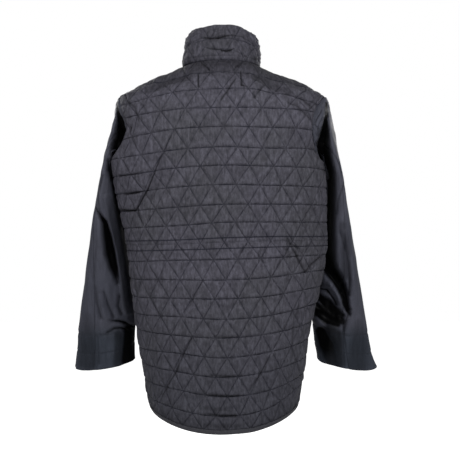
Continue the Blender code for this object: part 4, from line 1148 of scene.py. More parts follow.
# Lines drawn on the back halves of the sleeves, seen from behind. The deepest are the hollows between a
# sleeve and the body and the folds that fall from the elbows. Their shade paints shade into the colour, near
# black in these hollows, and runs of no depth are painted shade alone.
leftSleeveLines = [
    [(241, -85, 3.5, 2, 0.6), (236, -110, 6.3, 8, 1), (233, -134, 11.7, 26, 1), (230, -157, 17.1, 46, 1),
     (235, -179, 17.1, 50, 1), (242, -198, 13.6, 40, 1), (251, -213, 6.9, 18, 0.9)],
    [(260, -226, 5.1, 14, 0.9), (262, -245, 4.7, 14, 0.9), (257, -269, 3.2, 8, 0.6)],
    [(254, -279, 3.3, 8, 0.7), (244, -347, 3.3, 8, 0.7), (232, -429, 3.3, 8, 0.6), (221, -506, 3.3, 8, 0.7),
     (216, -550, 4.3, 10, 0.9)],
    [(292, -331, 2.9, 6, 0.4), (273, -364, 7.3, 18, 0.95), (268, -403, 11.1, 26, 1), (263, -437, 12, 26, 1),
     (256, -470, 9.8, 20, 0.95), (248, -506, 4.7, 8, 0.5)],
    [(264, -311, 9.2, -6, 0.1), (252, -368, 10.2, -10, 0.32), (240, -429, 10.8, -12, 0.42),
     (231, -491, 10.9, -12, 0.42), (226, -548, 11.4, -10, 0.38), (224, -574, 9.5, -5, 0.2)],
    [(261, -595, 3.5, 6, 0.5), (245, -597, 4.2, 9, 0.9), (230, -603, 4.3, 9, 1), (216, -617, 4.3, 6, 0.9)],
    [(273, -624, 3.1, 4, 0.3), (257, -614, 3.5, 5, 0.6), (241, -613, 3.5, 6, 0.8), (226, -624, 3.6, 4, 0.7)],
    [(298, -515, 4.2, 3, 0.25), (295, -552, 4.7, 4, 0.3), (286, -588, 4.7, 5, 0.35)],
    [(277, -526, 3.7, 3, 0.3), (269, -557, 4.2, 4, 0.4), (258, -586, 4.2, 5, 0.5)],
    [(289, -536, 5.1, -3, 0), (281, -564, 5.1, -3, 0), (272, -588, 5.2, -3, 0)],
    [(244, -537, 3.7, 4, 0.5), (247, -560, 3.8, 4, 0.5), (240, -580, 3.8, 4, 0.5)],
    [(295, -632, 2.8, 2.5, 0.3), (295, -666, 2.8, 2.5, 0.3), (294, -699, 2.8, 2.5, 0.3)],
    [(224, -618, 14.3, 4, 0.8), (225, -656, 16.7, 4, 0.8), (230, -692, 16.7, 4, 0.8)],
    [(248, -628, 9.4, 0, 0.45), (249, -666, 9.5, 0, 0.4), (252, -700, 9.5, 0, 0.4)],
    [(319, -589, 14.1, 0, 0.15), (319, -613, 18.9, 0, 0.25), (320, -654, 23.7, 0, 0.35),
     (321, -695, 23.7, 0, 0.35)],
    [(273, -257, 2.7, 3, 0.35), (286, -299, 2.9, 3, 0.3), (281, -348, 2.3, 2, 0.25)],
    [(289, -405, 2.8, 2, 0.15), (303, -498, 2.8, 2, 0.15)],
]
rightSleeveLines = [
    [(-236, -90, 3, 0.4, 0.8), (-236, -111, 5, 1.5, 1), (-234, -127, 6.4, 9, 1), (-232, -142, 8.1, 26, 1),
     (-229, -166, 11.7, 50, 1), (-227, -192, 16.3, 56, 1), (-230, -208, 17.8, 56, 1),
     (-236, -225, 14.3, 54, 1), (-244, -251, 11.7, 52, 1), (-245, -280, 11.2, 50, 1),
     (-245, -317, 11.2, 48, 1), (-245, -354, 12.2, 46, 1), (-245, -391, 12.6, 46, 1),
     (-245, -429, 13.1, 46, 1), (-246, -456, 14.4, 44, 1), (-251, -475, 14.9, 42, 1),
     (-263, -493, 14.4, 38, 1), (-274, -512, 13, 34, 1), (-281, -531, 11.6, 30, 1), (-289, -560, 8.9, 20, 1),
     (-297, -581, 4.7, 8, 0.7)],
    [(-244, -231, 2.3, 5, 0.8), (-252, -236, 2, 3, 0.6), (-257, -239, 1.8, 1, 0.2)],
    [(-236, -502, 7.5, -9, 0), (-247, -508, 7.5, -10, 0)],
    [(-249, -508, 7, -9, 0), (-263, -524, 7.4, -11, 0), (-275, -543, 7.5, -11, 0), (-285, -562, 6.1, -7, 0)],
    [(-231, -521, 2.8, 5, 0.8), (-243, -522, 2.8, 6, 0.8), (-254, -536, 2.8, 6, 0.8),
     (-266, -555, 3.3, 6, 0.8)],
    [(-228, -540, 9.4, 10, 0.8), (-245, -555, 12.9, 12, 0.86), (-266, -576, 12.9, 12, 0.86),
     (-280, -583, 7, 7, 0.7)],
    [(-224, -576, 11.8, 10, 0.84), (-247, -594, 14.1, 10, 0.84), (-269, -603, 9.4, 6, 0.8)],
    [(-268, -387, 3.7, 3, 0.3), (-280, -421, 4.6, 5, 0.45), (-290, -458, 5.1, 6, 0.5),
     (-295, -498, 4.6, 6, 0.6), (-295, -534, 4.2, 5, 0.6)],
    [(-280, -387, 4.6, -3, 0), (-295, -428, 5.1, -4, 0), (-305, -480, 5.1, -4, 0), (-309, -537, 4.7, -3, 0)],
    [(-275, -371, 9.2, 0, 0.25), (-281, -428, 11.5, 0, 0.35), (-285, -486, 11.6, 0, 0.4)],
    [(-299, -567, 3.3, 4, 0.5), (-290, -588, 3.5, 4, 0.5), (-284, -617, 3.3, 3, 0.5)],
    [(-281, -588, 2.8, 3, 0.5), (-282, -629, 2.4, 2.5, 0.5), (-285, -670, 2.4, 2.5, 0.4),
     (-287, -704, 2.4, 2, 0.4)],
    [(-232, -622, 11.9, 6, 0.9), (-246, -655, 21.4, 4, 0.8), (-258, -691, 19, 3, 0.6)],
    [(-220, -563, 11.9, 6, 0.85), (-242, -575, 14.1, 6, 0.9), (-269, -588, 14.1, 4, 0.9),
     (-281, -598, 9.4, 2, 0.7)],
    [(-252, -618, 18.9, 0, 0.6), (-255, -642, 21.3, 0, 0.6)],
    [(-268, -629, 14.1, 2, 0.55), (-271, -666, 14.2, 2, 0.5), (-272, -700, 14.2, 2, 0.5)],
    [(-318, -606, 14.2, 0, 0.2), (-319, -630, 18.9, 0, 0.3), (-319, -666, 23.7, 0, 0.35),
     (-320, -700, 23.7, 0, 0.35)],
    [(-264, -125, 2.3, 2, 0.2), (-268, -172, 2.3, 2, 0.2)],
    [(-248, -102, 3.7, 0.3, 0.35), (-255, -128, 4.2, 0.3, 0.45), (-255, -166, 4.1, 0.3, 0.45),
     (-261, -203, 3.7, 0.3, 0.3)],
    [(-231, -71, 1.6, 1, 0.5), (-226, -94, 1.6, 1, 0.45)],
    [(-224, -110, 1.6, 1.3, 0.45), (-217, -123, 1.8, 1.6, 0.5), (-210, -135, 1.8, 1.6, 0.5),
     (-207, -146, 1.6, 1.2, 0.4)],
    [(-224, -127, 1.6, 1.2, 0.35), (-217, -141, 1.8, 1.5, 0.45), (-211, -157, 1.8, 1.2, 0.4)],
    [(-214, -151, 3.6, 1.2, 0.4), (-212, -168, 4, 1.2, 0.45)],
    [(-212, -184, 4.1, 1.6, 0.5), (-213, -198, 4.1, 1.6, 0.6)],
    [(-276, -278, 2.8, 3, 0.25), (-263, -313, 2.7, 3, 0.3), (-261, -345, 2.8, 3, 0.3)],
    [(-282, -313, 2.5, 2, 0.15), (-295, -368, 2.6, 2, 0.15)],
]
sleeveLines = {"left": leftSleeveLines, "right": rightSleeveLines}

# Folds of the hidden sides, set along the cloth's normal: around at the top and the end, along at
# the top and the end, width in degrees, depth. Depth below 0 is a ridge.
hiddenFolds = {
    "left": [
        (205, 232, 0.2, 0.42, 9, 0.004),
        (250, 222, 0.36, 0.52, 9, 0.0045),
        (300, 262, 0.52, 0.64, 9, 0.005),
        (262, 300, 0.6, 0.74, 9, 0.004),
        (318, 340, 0.4, 0.6, 10, 0.003),
        (240, 262, 0.74, 0.92, 9, 0.003),
    ],
    "right": [
        (215, 240, 0.22, 0.44, 9, 0.0042),
        (262, 226, 0.4, 0.54, 9, 0.0045),
        (292, 256, 0.56, 0.68, 9, 0.0048),
        (250, 296, 0.64, 0.76, 9, 0.004),
        (330, 346, 0.36, 0.58, 10, 0.003),
        (232, 250, 0.76, 0.94, 9, 0.003),
    ],
}


# Points moved out from the body's axis until they pass its side, by the soft maximum of their own
# reach and the body's superellipse
def clearOfBody(points, side):
    places = np.linspace(0, cut["underarmRow"], sleeve["bodySteps"])
    back, front = rowValues(backRows, places), rowValues(frontRows, places)
    x, y, z = np.moveaxis(points, -1, 0)
    wide = np.interp(z, back["edgeZ"], back[side + "X"])
    deep = np.where(y > 0, np.interp(z, back["centreZ"], back["centreY"]),
                    np.interp(z, front["centreZ"], -front["centreY"]))
    below = ramp(z, sleeve["gapStart"], -sleeve["gapFade"])
    gap, roundness, sharp = sleeve["bodyGap"] * below, cut["roundness"], sleeve["sharpness"]
    reach = (np.abs(x / (wide + gap)) ** roundness + np.abs(y / (deep + gap)) ** roundness) ** (1 / roundness)
    scale = 1 + ((1 + reach**sharp) ** (1 / sharp) / reach - 1) * below
    return np.stack([x * scale, y * scale, z], axis=-1)


# Ovals of the table: centre plus halfX cos and halfY sin of the angle, turned by tilt and cut at a
# slant near the cuff
def sleeveOvals(side, places, angle):
    columns = byName(sleeveNames, sleeveSections)
    row = {name: smooth(column, places)[:, None] for name, column in columns.items()}
    outward, behind = np.cos(angle)[None, :], np.sin(angle)[None, :]
    out, back = row["halfX"] * outward, row["halfY"] * behind
    tilt = np.radians(row["tilt"])
    x = row[side + "X"] + out * np.cos(tilt) + back * np.sin(tilt)
    y = row["centreY"] + back * np.cos(tilt) - out * np.sin(tilt)
    slant = sleeve["cuffSlant"] * outward + sleeve["cuffBackDrop"] * behind
    z = row["height"] - slant * (places / (len(sleeveSections) - 1))[:, None] ** 3
    return clearOfBody(np.stack([outwards[side] * x, y, z], axis=-1), side)


def smoothRound(values, passes):
    for again in range(passes):
        values = (np.roll(values, 1, axis=0) + 2 * values + np.roll(values, -1, axis=0)) / 4
    return values


# Edge of the armhole from the shoulder tip down the back and up the front, the direction in which
# the body's cloth ends there, and its normal
def armholeRing(side, count):
    s = np.arange(count) * sleeve["ring"] / count
    half = sleeve["ring"] / 2
    span = (cut["shoulderRow"] - cut["underarmRow"]) / half
    behind = s <= half
    place = np.where(behind, cut["shoulderRow"] - span * s, cut["underarmRow"] + span * (s - half))
    edge = np.ones_like(place)
    ring, normal = (np.where(behind[:, None], form(backRows, place, edge, side),
                             form(frontRows, place, edge, side)) for form in (bodyPoints, bodyNormals))
    normal = unit(smoothRound(normal, sleeve["ringPasses"]))
    along = np.roll(ring, -1, axis=0) - np.roll(ring, 1, axis=0)
    leaving = unit(np.cross(along, -normal))
    leaving = leaving * np.where(np.sum(leaving[:, 0]) * outwards[side] > 0, 1, -1)
    return ring, unit(smoothRound(leaving, sleeve["leavingPasses"])), normal


# A bell across the fold's run, and a power of a sine along it
def foldShape(degrees, along, fold):
    top, end, start, stop, width, depth = fold
    part = ramp(along, start, stop - start)
    return (depth * np.sin(np.pi * part) ** sleeve["foldPower"]
            * bell(degrees - top - (end - top) * part, width))


# Outer points of a sleeve. The crown is a bezier from the armhole to the bicep's oval, and the tube
# below follows the table.
def sleeveGrid(side):
    count = sleeve["ring"] * sleeve["fine"]
    angle = np.arange(count) * 2 * math.pi / count
    ring, leaving, normal = armholeRing(side, count)
    last = len(sleeveSections) - 1
    tubePlaces = np.linspace(0, last, sleeve["tubeRows"] + 1)
    tube = sleeveOvals(side, tubePlaces, angle)
    nextRow = sleeveOvals(side, np.array([0.0, last / sleeve["arrivalStep"]]), angle)[1]
    sign = outwards[side]
    start = ring + sleeve["armholeGap"] * leaving - sleeve["tuckDepth"] * normal
    onward = np.stack([leaving[:, 0] + sign, leaving[:, 1], np.minimum(leaving[:, 2], 0)], axis=-1)
    drop = np.linalg.norm(tube[0] - start, axis=-1, keepdims=True)
    bend = start + (sleeve["crownReach"] + sleeve["crownReachShare"] * drop) * unit(onward)
    arrival = tube[0] - sleeve["arrivalShare"] * drop * unit(nextRow - tube[0])
    last = len(sleeve["crownSteps"]) - 1
    q = np.linspace(0, last, sleeve["crownRows"] + 1)[:-1]
    step = smooth(sleeve["crownSteps"], q)[:, None, None]
    rest = 1 - step
    crown = rest**3 * start + 3 * rest**2 * step * bend + 3 * rest * step**2 * arrival + step**3 * tube[0]
    crown = crown + (clearOfBody(crown, side) - crown) * np.minimum(1, step / sleeve["crownClear"])
    part = sleeve["crownPart"]
    along = np.concatenate([part * q / last, part + (1 - part) * tubePlaces / tubePlaces[-1]])
    grid = np.concatenate([crown, tube])
    table = np.array(outerShift[side]) / 1000
    outer = np.clip(np.cos(angle), 0, 1) ** sleeve["shiftPower"]
    shift = np.interp(-grid[..., 2], -table[:, 0], table[:, 1]) * outer
    grid[..., 0] += sign * shift * ramp(along, 0, sleeve["topFade"])[:, None]
    grid[0] = ring - sleeve["tuck"] * leaving - sleeve["tuckShare"] * sleeve["tuckDepth"] * normal
    raised = sleeve["tuckRise"] * ramp(ring[:, 2], *sleeve["underarm"])
    grid[0, :, 2] = np.minimum(grid[0, :, 2], ring[:, 2] - sleeve["tuckDrop"] + raised)
    return settle(grid), along[:, None], np.degrees(angle)[None, :]


# Normals of a grid that closes on itself, turned away from each row's middle
def gridNormals(grid):
    around = np.roll(grid, -1, axis=1) - np.roll(grid, 1, axis=1)
    normal = unit(np.cross(around, np.gradient(grid, axis=0)))
    outside = np.sum(normal * (grid - grid.mean(axis=1, keepdims=True)), axis=(1, 2), keepdims=True)
    return normal * np.where(outside < 0, -1, 1)


# Runs of stitches on the lines above the cuff and beside the hind-arm seam
def sleeveRuns(grid, normal, fromCuff, seamColumn):
    runs = []
    column = np.append(np.arange(grid.shape[1]), 0)
    for line in sleeve["cuffLines"]:
        row = (np.sum(fromCuff > line, axis=0) - 1)[column]
        above, below = fromCuff[row, column], fromCuff[row + 1, column]
        part = ((above - line) / (above - below))[:, None]
        runs.append([(1 - part) * values[row, column] + part * values[row + 1, column]
                     for values in (grid, normal)])
    return runs + [(grid[2:, seamColumn], normal[2:, seamColumn])]


# Height of a sleeve's cloth along its normals, and its shade: less the hidden folds, uneven by two
# sets of waves, with pressed lines above the cuff, sunk seams and a crumpled roll at the armhole
def sleeveRelief(side, grid, along, degrees, fromCuff, shade):
    seed = sleeve["seed"][side]
    height = np.zeros(grid.shape[:2])
    for fold in hiddenFolds[side]:
        height -= foldShape(degrees, along, fold)
    for tall, turn, down, number in sleeve["waves"]:
        height += tall * patchNoise(degrees / turn + 3, along * down + 5, seed + number)
    dark, reach = sleeve["lineShade"]
    for line in sleeve["cuffLines"]:
        height -= sleeve["lineDepth"] * bell(fromCuff - line, sleeve["lineWidth"])
        shade = np.maximum(shade, dark * bell(fromCuff - line, reach))
    height += sleeve["edgeBead"][0] * bell(fromCuff, sleeve["edgeBead"][1])
    ringStep = 360 / sleeve["ring"]
    width = np.linalg.norm(np.roll(grid, -1, axis=1) - grid, axis=-1) * sleeve["fine"] / ringStep
    for seam in (sleeve["hindSeam"][side], sleeve["foreSeam"]):
        off = np.abs(degrees - seam * ringStep) * width
        height -= sleeve["seamSunk"] * bell(off, sleeve["seamWidth"])
        shade = np.maximum(shade, dark * bell(off, reach))
    tall, turn, down, number = sleeve["crumple"]
    crumple = patchNoise(degrees / turn + 1, along * down + 2, seed + number)
    height += tall * crumple * bell(along, sleeve["crumpleReach"])
    height *= ramp(along, 0, sleeve["reliefFade"])
    tall, place, reach = sleeve["swell"]
    height += tall * bell(along - place, reach) * (along > sleeve["swellFrom"])
    return height, shade


# A sleeve's two pieces and its stitches. The drawn lines are pressed in from behind, where the
# cloth faces backwards, and the rest of the relief follows the cloth's normals.
def makeSleeves(side):
    grid, along, degrees = sleeveGrid(side)
    y = grid[..., 1]
    rear = np.clip((y - y.mean(axis=1, keepdims=True)) / sleeve["rearFade"] + 1, 0, 1)
    behind = (ramp(gridNormals(grid)[..., 1], *sleeve["facing"])
              * ramp(along, 0, sleeve["topFade"]) * rear)
    pressed, shade = drawnLines(grid[..., 0], grid[..., 2], sleeveLines[side])
    grid[..., 1] += pressed * behind
    # Painted shade on the sleeve's cap below the armhole, and the drawn lines' painted shade only where the
    # cloth faces backwards
    dark, reach = sleeve["topShade"]
    shade = np.maximum(shade * behind, dark * bell(along, reach))
    normal = gridNormals(grid)
    fromCuff = np.linalg.norm(grid - grid[-1:], axis=-1)
    height, shade = sleeveRelief(side, grid, along, degrees, fromCuff, shade)
    grid = grid + normal * height[..., None]
    hind, fore = sleeve["hindSeam"][side] * sleeve["fine"], sleeve["foreSeam"] * sleeve["fine"]
    pieces = {"stitches": makeStitches("stitches_sleeve_" + side,
                                       sleeveRuns(grid, normal, fromCuff, hind + 1))}
    steps = np.linalg.norm(np.diff(grid, axis=0), axis=-1).mean(axis=1)
    lengthDown = np.concatenate([[0], np.cumsum(steps)])
    around = unit(np.roll(grid, -1, axis=1) - np.roll(grid, 1, axis=1))
    count = grid.shape[1]
    for name, first, last in (("under", hind, fore), ("upper", fore, count + hind)):
        columns = np.arange(first, last + 1)
        face = grid[:, columns % count].copy()
        for end, sign in ((0, 1), (-1, -1)):
            face[:, end] += sign * cut["seamGap"] / 2 * around[:, columns[end] % count]
        pieces[name] = putGrid(f"plain_sleeve_{name}_{side}", face, columns[None, :] * sleeve["columnWidth"],
                               lengthDown[:, None], "plain", cut["sleeveWall"], side == "right",
                               shade[:, columns % count])
    return pieces


print("collar")
collar = {
    "height": 0.078, "taper": 0.15, "taperPower": 2.4,
    "topLean": 0.1,            # how far the top few millimetres lean in at the sides
    "leanPower": 9, "leanFrom": 0.08, "seamSteps": 400, "columns": 300, "rows": 46,
    "wall": 0.0036, "archRows": 5, "pitch": 0.056, "rowHeight": 0.048,
    "bow": (0.22, 0.09),        # how much lower the level row is at the sides, and its reach
    "tuck": 0.003,              # the seam allowance inside the yoke
    "rightDrop": 0.009, "dropFrom": (-0.02, -0.05), "dropBehind": 0.06,
    "leftShift": ((0, 0.0062), (0.15, 0.0068), (0.35, 0.0048), (0.6, 0.003), (0.85, 0.0036), (1, 0.0064)),
    "rightShift": ((0, 0), (0.3, -0.001), (0.5, 0.002), (0.9, 0.0036), (1, 0.003)),
    "shiftSide": 0.075, "shiftBehind": (-0.06, 0.1),
    "rimWaves": ((0.0022, 22, 5, 0, 3, 71), (0.0009, 60, 5, 0, 9, 72)), "pillow": 0.0026,
    "uneven": (0.35, 1.7, 20, 1.3, 9, 73), "broadWave": (0.0016, 1.1, 8, 1.4, 3, 74),
    "wave": (1, 5, 8, 6, 3, 75),
    "waveHeights": (0.0012, 0.0012),      # below, and what is added above
    "waveRise": (0.5, 0.2), "fineWave": (0.0007, 11, 8, 12, 3, 76), "behind": (0.01, 0.02),
    "tone": 0.17, "topstitch": 0.009, "topstitchDepth": 0.0014, "topstitchWidth": 0.0018,
    "topstitchShade": (0.35, 0.0014), "seamShade": (0.55, 0.0022), "edgeWidth": 0.004,
    "edgeSunk": 0.0008,
    "rim": 0.006,               # the height of the top edge's own roll
    "rimFlat": 0.75, "rimSwell": 0.0006, "innerShare": 0.6, "stitched": (0.06, 0.95),
}
# Lines drawn on the collar, seen from behind
collarLines = [
    [(87, 33, 1.6, 1, 0.2), (81, 39, 1.8, 1.6, 0.4), (62, 47, 1.8, 1.8, 0.45), (47, 51, 2, 2.2, 0.6),
     (28, 49, 2.3, 2.6, 0.8), (9, 49, 2.3, 2.6, 0.8), (-9, 54, 2, 2.4, 0.7), (-24, 56, 1.8, 1.8, 0.5),
     (-43, 52, 1.8, 1.8, 0.45), (-62, 44, 1.8, 1.8, 0.4), (-73, 35, 1.8, 1.4, 0.3)],
    [(45, 30, 1.4, 1.2, 0.3), (28, 24, 1.8, 2.2, 0.6), (9, 22, 1.8, 2.4, 0.7), (0, 24, 1.4, 1.6, 0.4)],
    [(4, 20, 1.6, 2.4, 0.8), (-7, 19, 2.3, 3.2, 1), (-16, 20, 2.3, 3, 1), (-24, 24, 1.6, 2, 0.6)],
    [(-24, 21, 1.4, 1, 0.3), (-39, 15, 1.6, 1.4, 0.35), (-52, 8, 1.4, 1, 0.3)],
    [(29, 47, 1.4, 1, 0.25), (38, 35, 1.4, 1, 0.25), (46, 21, 1.4, 1, 0.2)],
    [(-23, 52, 1.4, 1, 0.3), (-11, 37, 1.6, 1.2, 0.35), (2, 19, 1.6, 1.2, 0.3), (11, 8, 1.4, 1, 0.2)],
    [(-27, 52, 1.4, 1, 0.3), (-39, 35, 1.6, 1.2, 0.35), (-50, 19, 1.4, 1, 0.3)],
    [(70, 64, 2, 1.5, 0.25), (58, 60, 2, 1.5, 0.25), (45, 62, 1.8, 1.2, 0.2)],
    [(29, 69, 1.8, 1.4, 0.25), (13, 63, 1.8, 1.6, 0.3), (0, 69, 1.8, 1.2, 0.2)],
    [(-18, 67, 1.8, 1.4, 0.25), (-32, 62, 1.8, 1.4, 0.25), (-45, 60, 1.6, 1, 0.2)],
    [(-54, 55, 1.8, 1.2, 0.25), (-68, 42, 1.8, 1.4, 0.3), (-77, 24, 1.8, 1.4, 0.3)],
    [(83, 24, 1.8, 1.4, 0.3), (72, 17, 1.8, 1.4, 0.3), (58, 14, 1.6, 1, 0.2)],
    [(-59, 30, 1.8, 1.4, 0.3), (-68, 17, 1.8, 1.4, 0.3), (-75, 1, 1.8, 1.2, 0.3)],
    [(74, 37, 1.8, -1.2, 0), (52, 42, 2, -1.4, 0), (34, 39, 2, -1.4, 0)],
]
# Creases of the collar's other sides in mm: from (u, z) to (u, z), width and depth. u runs round
# from the centre back.
collarCreases = [
    (160, 15, 205, 2, 2.4, 2.4), (-165, 6, -215, 18, 2.4, 2.4), (55, 62, 80, 48, 2, 2),
]


# Points of a level row right round the body, from the wearer's right front edge round the back to
# the left one
def walkSeam(place, steps):
    across = np.linspace(0, 1, steps)
    row = np.full(steps, float(place))
    return np.concatenate([bodyPoints(table, row, way, side)[skip:] for table, way, side, skip in (
        (frontRows, across, "right", 0), (backRows, across[::-1], "right", 1),
        (backRows, across, "left", 1), (frontRows, across[::-1], "left", 1))])


# The same line with count points, evenly spaced, and their distances from its middle
def evenly(points, count):
    arc = arcLengths(points)
    at = np.linspace(0, arc[-1], count)
    return np.stack([np.interp(at, arc, points[:, k]) for k in range(3)], axis=1), at - arc[-1] / 2


# A piece whose section is a closed loop of points, carried along its columns, with capped ends. The
# first half of the loop lies over its second half.
def closedSection(name, loop, uv, finish, shade):
    turns, cols = loop.shape[:2]
    index = np.arange(turns * cols).reshape(turns, cols)
    following = np.roll(index, -1, axis=0)
    faces = [np.stack([index[:, :-1], index[:, 1:], following[:, 1:], following[:, :-1]], axis=-1)
             .reshape(-1, 4)]
    m = np.arange(turns // 2 - 1)
    other = turns - 1 - m
    for column, way in ((0, 1), (cols - 1, -1)):
        faces.append(np.stack([index[place, column] for place in (m, m + 1, other - 1, other)],
                              axis=-1)[:, ::way])
    return putMesh(name, loop.reshape(-1, 3), np.concatenate(faces), uv, "lattice", finish, 0.0, shade)


# Half-round rows over the top of a wall, from its outer face to its inner one
def archOver(outer, inner, rows):
    turn = np.linspace(0, np.pi, rows + 2)[1:-1, None, None]
    middle, half = (outer + inner) / 2, (outer - inner) / 2
    reach = np.linalg.norm(half, axis=-1, keepdims=True)
    return middle + np.cos(turn) * half + np.sin(turn) * reach * up


# Lines of stitches on the collar's outer side: one over the seam, one level and the slanting
def collarRuns(outside, normal, u, rise, line):
    cols = np.arange(len(u)).astype(float)
    last = len(rise) - 1
    levels = [np.full(len(u), collar["topstitch"] / collar["height"] * last),
              collar["rowHeight"] / collar["height"] * line * last]
    runs = [(onGrid(outside, level, cols), onGrid(normal, level, cols)) for level in levels]
    most = int(u[-1] / collar["pitch"]) + 1
    low, high = collar["stitched"]
    for m in range(-most, most + 1):
        for sign in (1, -1):
            b = rise * collar["height"] / collar["rowHeight"]
            for again in range(3):
                at = collar["pitch"] * (m + sign * b / 2)
                b = rise * collar["height"] / collar["rowHeight"] / np.interp(at, u, line)
            place = np.interp(at, u, cols)
            kept = (at > u[3]) & (at < u[-4]) & (rise > low) & (rise < high)
            if kept.sum() > 2:
                rows = np.arange(len(rise)).astype(float)[kept]
                runs.append((onGrid(outside, rows, place[kept]), onGrid(normal, rows, place[kept])))
    return runs


# Outer face of the collar: the neck seam raised, drawn in by a power of the height, shifted at each
# side by its table, and lower by a power of the reach at the wearer's right
def collarForm():
    seam, u = evenly(walkSeam(cut["neckRow"], collar["seamSteps"]), collar["columns"])
    rise = np.linspace(0, 1, collar["rows"])[:, None]
    reach = np.abs(seam[:, 0])
    side = ramp(reach, 0, collar["leanFrom"]) ** 3
    drawIn = (1 - collar["taper"] * rise ** collar["taperPower"]
              - collar["topLean"] * side * rise ** collar["leanPower"])
    held = np.minimum(reach, cut["zipHalf"])
    x = np.sign(seam[:, 0]) * (held + (reach - held) * drawIn)
    outward = smoothStep(ramp(reach, 0, collar["shiftSide"]) ** 2
                         * ramp(seam[:, 1], *collar["shiftBehind"]))
    for name, sign in outwards.items():
        table = np.array(collar[name + "Shift"])
        x = x + sign * np.interp(rise, table[:, 0], table[:, 1]) * outward * (seam[:, 0] * sign > 0)
    behind = ramp(seam[:, 1], 0, collar["dropBehind"])
    drop = collar["rightDrop"] * ramp(seam[:, 0], *collar["dropFrom"]) ** 1.5 * behind
    drop = drop - sum(wave(u, u, settings) for settings in collar["rimWaves"])
    z = seam[:, 2] + collar["height"] * rise - drop * rise**2
    outer = np.stack(np.broadcast_arrays(x, seam[:, 1] * drawIn, z), axis=-1)
    outer[0, :, 2] -= collar["tuck"]
    normal = unit(np.cross(np.gradient(outer, axis=1), np.gradient(outer, axis=0)))
    facing = np.sum(normal[..., :2] * outer[..., :2])
    return outer, normal * (1 if facing > 0 else -1), u, rise


# Height of the collar's cloth and its shade: padded triangles as on the body, creases, waves that
# grow towards the top, the drawn lines at the back and a topstitched seam
def collarRelief(outer, u, rise, a, b):
    level, rising, falling = lineDistances(a, b, collar["pitch"], collar["rowHeight"])
    width = quilt["pillowWidth"]
    pillow = soften(level, width) * soften(rising, width) * soften(falling, width)
    height = collar["pillow"] * pillow * (1 + wave(a, b, collar["uneven"])) - quilt["sunk"]
    height += creaseHeight(np.broadcast_to(u, b.shape), outer[..., 2], collarCreases)
    height += wave(a, b, collar["broadWave"])
    low, more = collar["waveHeights"]
    height += (low + more * ramp(rise, *collar["waveRise"])) * wave(a, b, collar["wave"])
    height += wave(a, b, collar["fineWave"])
    drawn, shade = drawnLines(outer[..., 0], outer[..., 2], collarLines)
    atBack = ramp(outer[..., 1], *collar["behind"])
    height += drawn * atBack
    fromSeam = rise * collar["height"]
    fromStitch = fromSeam - collar["topstitch"]
    height -= collar["topstitchDepth"] * bell(fromStitch, collar["topstitchWidth"])
    shade = np.maximum(shade * atBack, collar["tone"])
    for distance, (dark, reach) in ((fromStitch, collar["topstitchShade"]),
                                    (fromSeam, collar["seamShade"])):
        shade = np.maximum(shade, dark * bell(distance, reach))
    fromFront = np.minimum(u - u[0], u[-1] - u)[None, :]
    held = soften(fromSeam, collar["edgeWidth"]) * soften(fromFront, collar["edgeWidth"])
    height = height * held - collar["edgeSunk"] * (1 - held)
    top = bell((1 - rise) * collar["height"], collar["rim"])
    return height * (1 - collar["rimFlat"] * top) + collar["rimSwell"] * top, shade


def makeCollar():
    outer, normal, u, rise = collarForm()
    low, reach = collar["bow"]
    line = 1 - low * ramp(np.abs(u), 0, reach) ** 2
    a = u[None, :] / collar["pitch"] + 0.0 * rise
    b = rise * collar["height"] / collar["rowHeight"] / line
    height, shade = collarRelief(outer, u, rise, a, b)
    outside = outer + normal * height[..., None]
    inside = outer - normal * (collar["wall"] - collar["innerShare"] * np.minimum(height, 0))[..., None]
    arch = archOver(outside[-1:], inside[-1:], collar["archRows"])
    loop = np.concatenate([outside, arch, inside[::-1]])
    turned = [np.concatenate([values, np.repeat(values[-1:], collar["archRows"], axis=0), values[::-1]])
              for values in (a, b, shade)]
    return (closedSection("quilted_collar", loop, np.stack(turned[:2], axis=-1), finishes["quilted"],
                          turned[2]),
            makeStitches("stitches_collar", collarRuns(outside, normal, u, rise[:, 0], line)))


print("hem binding")
binding = {
    "height": 0.0065,
    "over": 0.0022,             # how far each leg runs up over the panel
    "thickness": 0.0006, "clear": 0.0008, "legRows": 4, "roundRows": 5, "columns": 200,
    "upStep": 0.05, "swell": (0.00035, 60, 4, 2, 1, 81), "stray": (0.0008, 26, 2, 0, 1, 82),
}


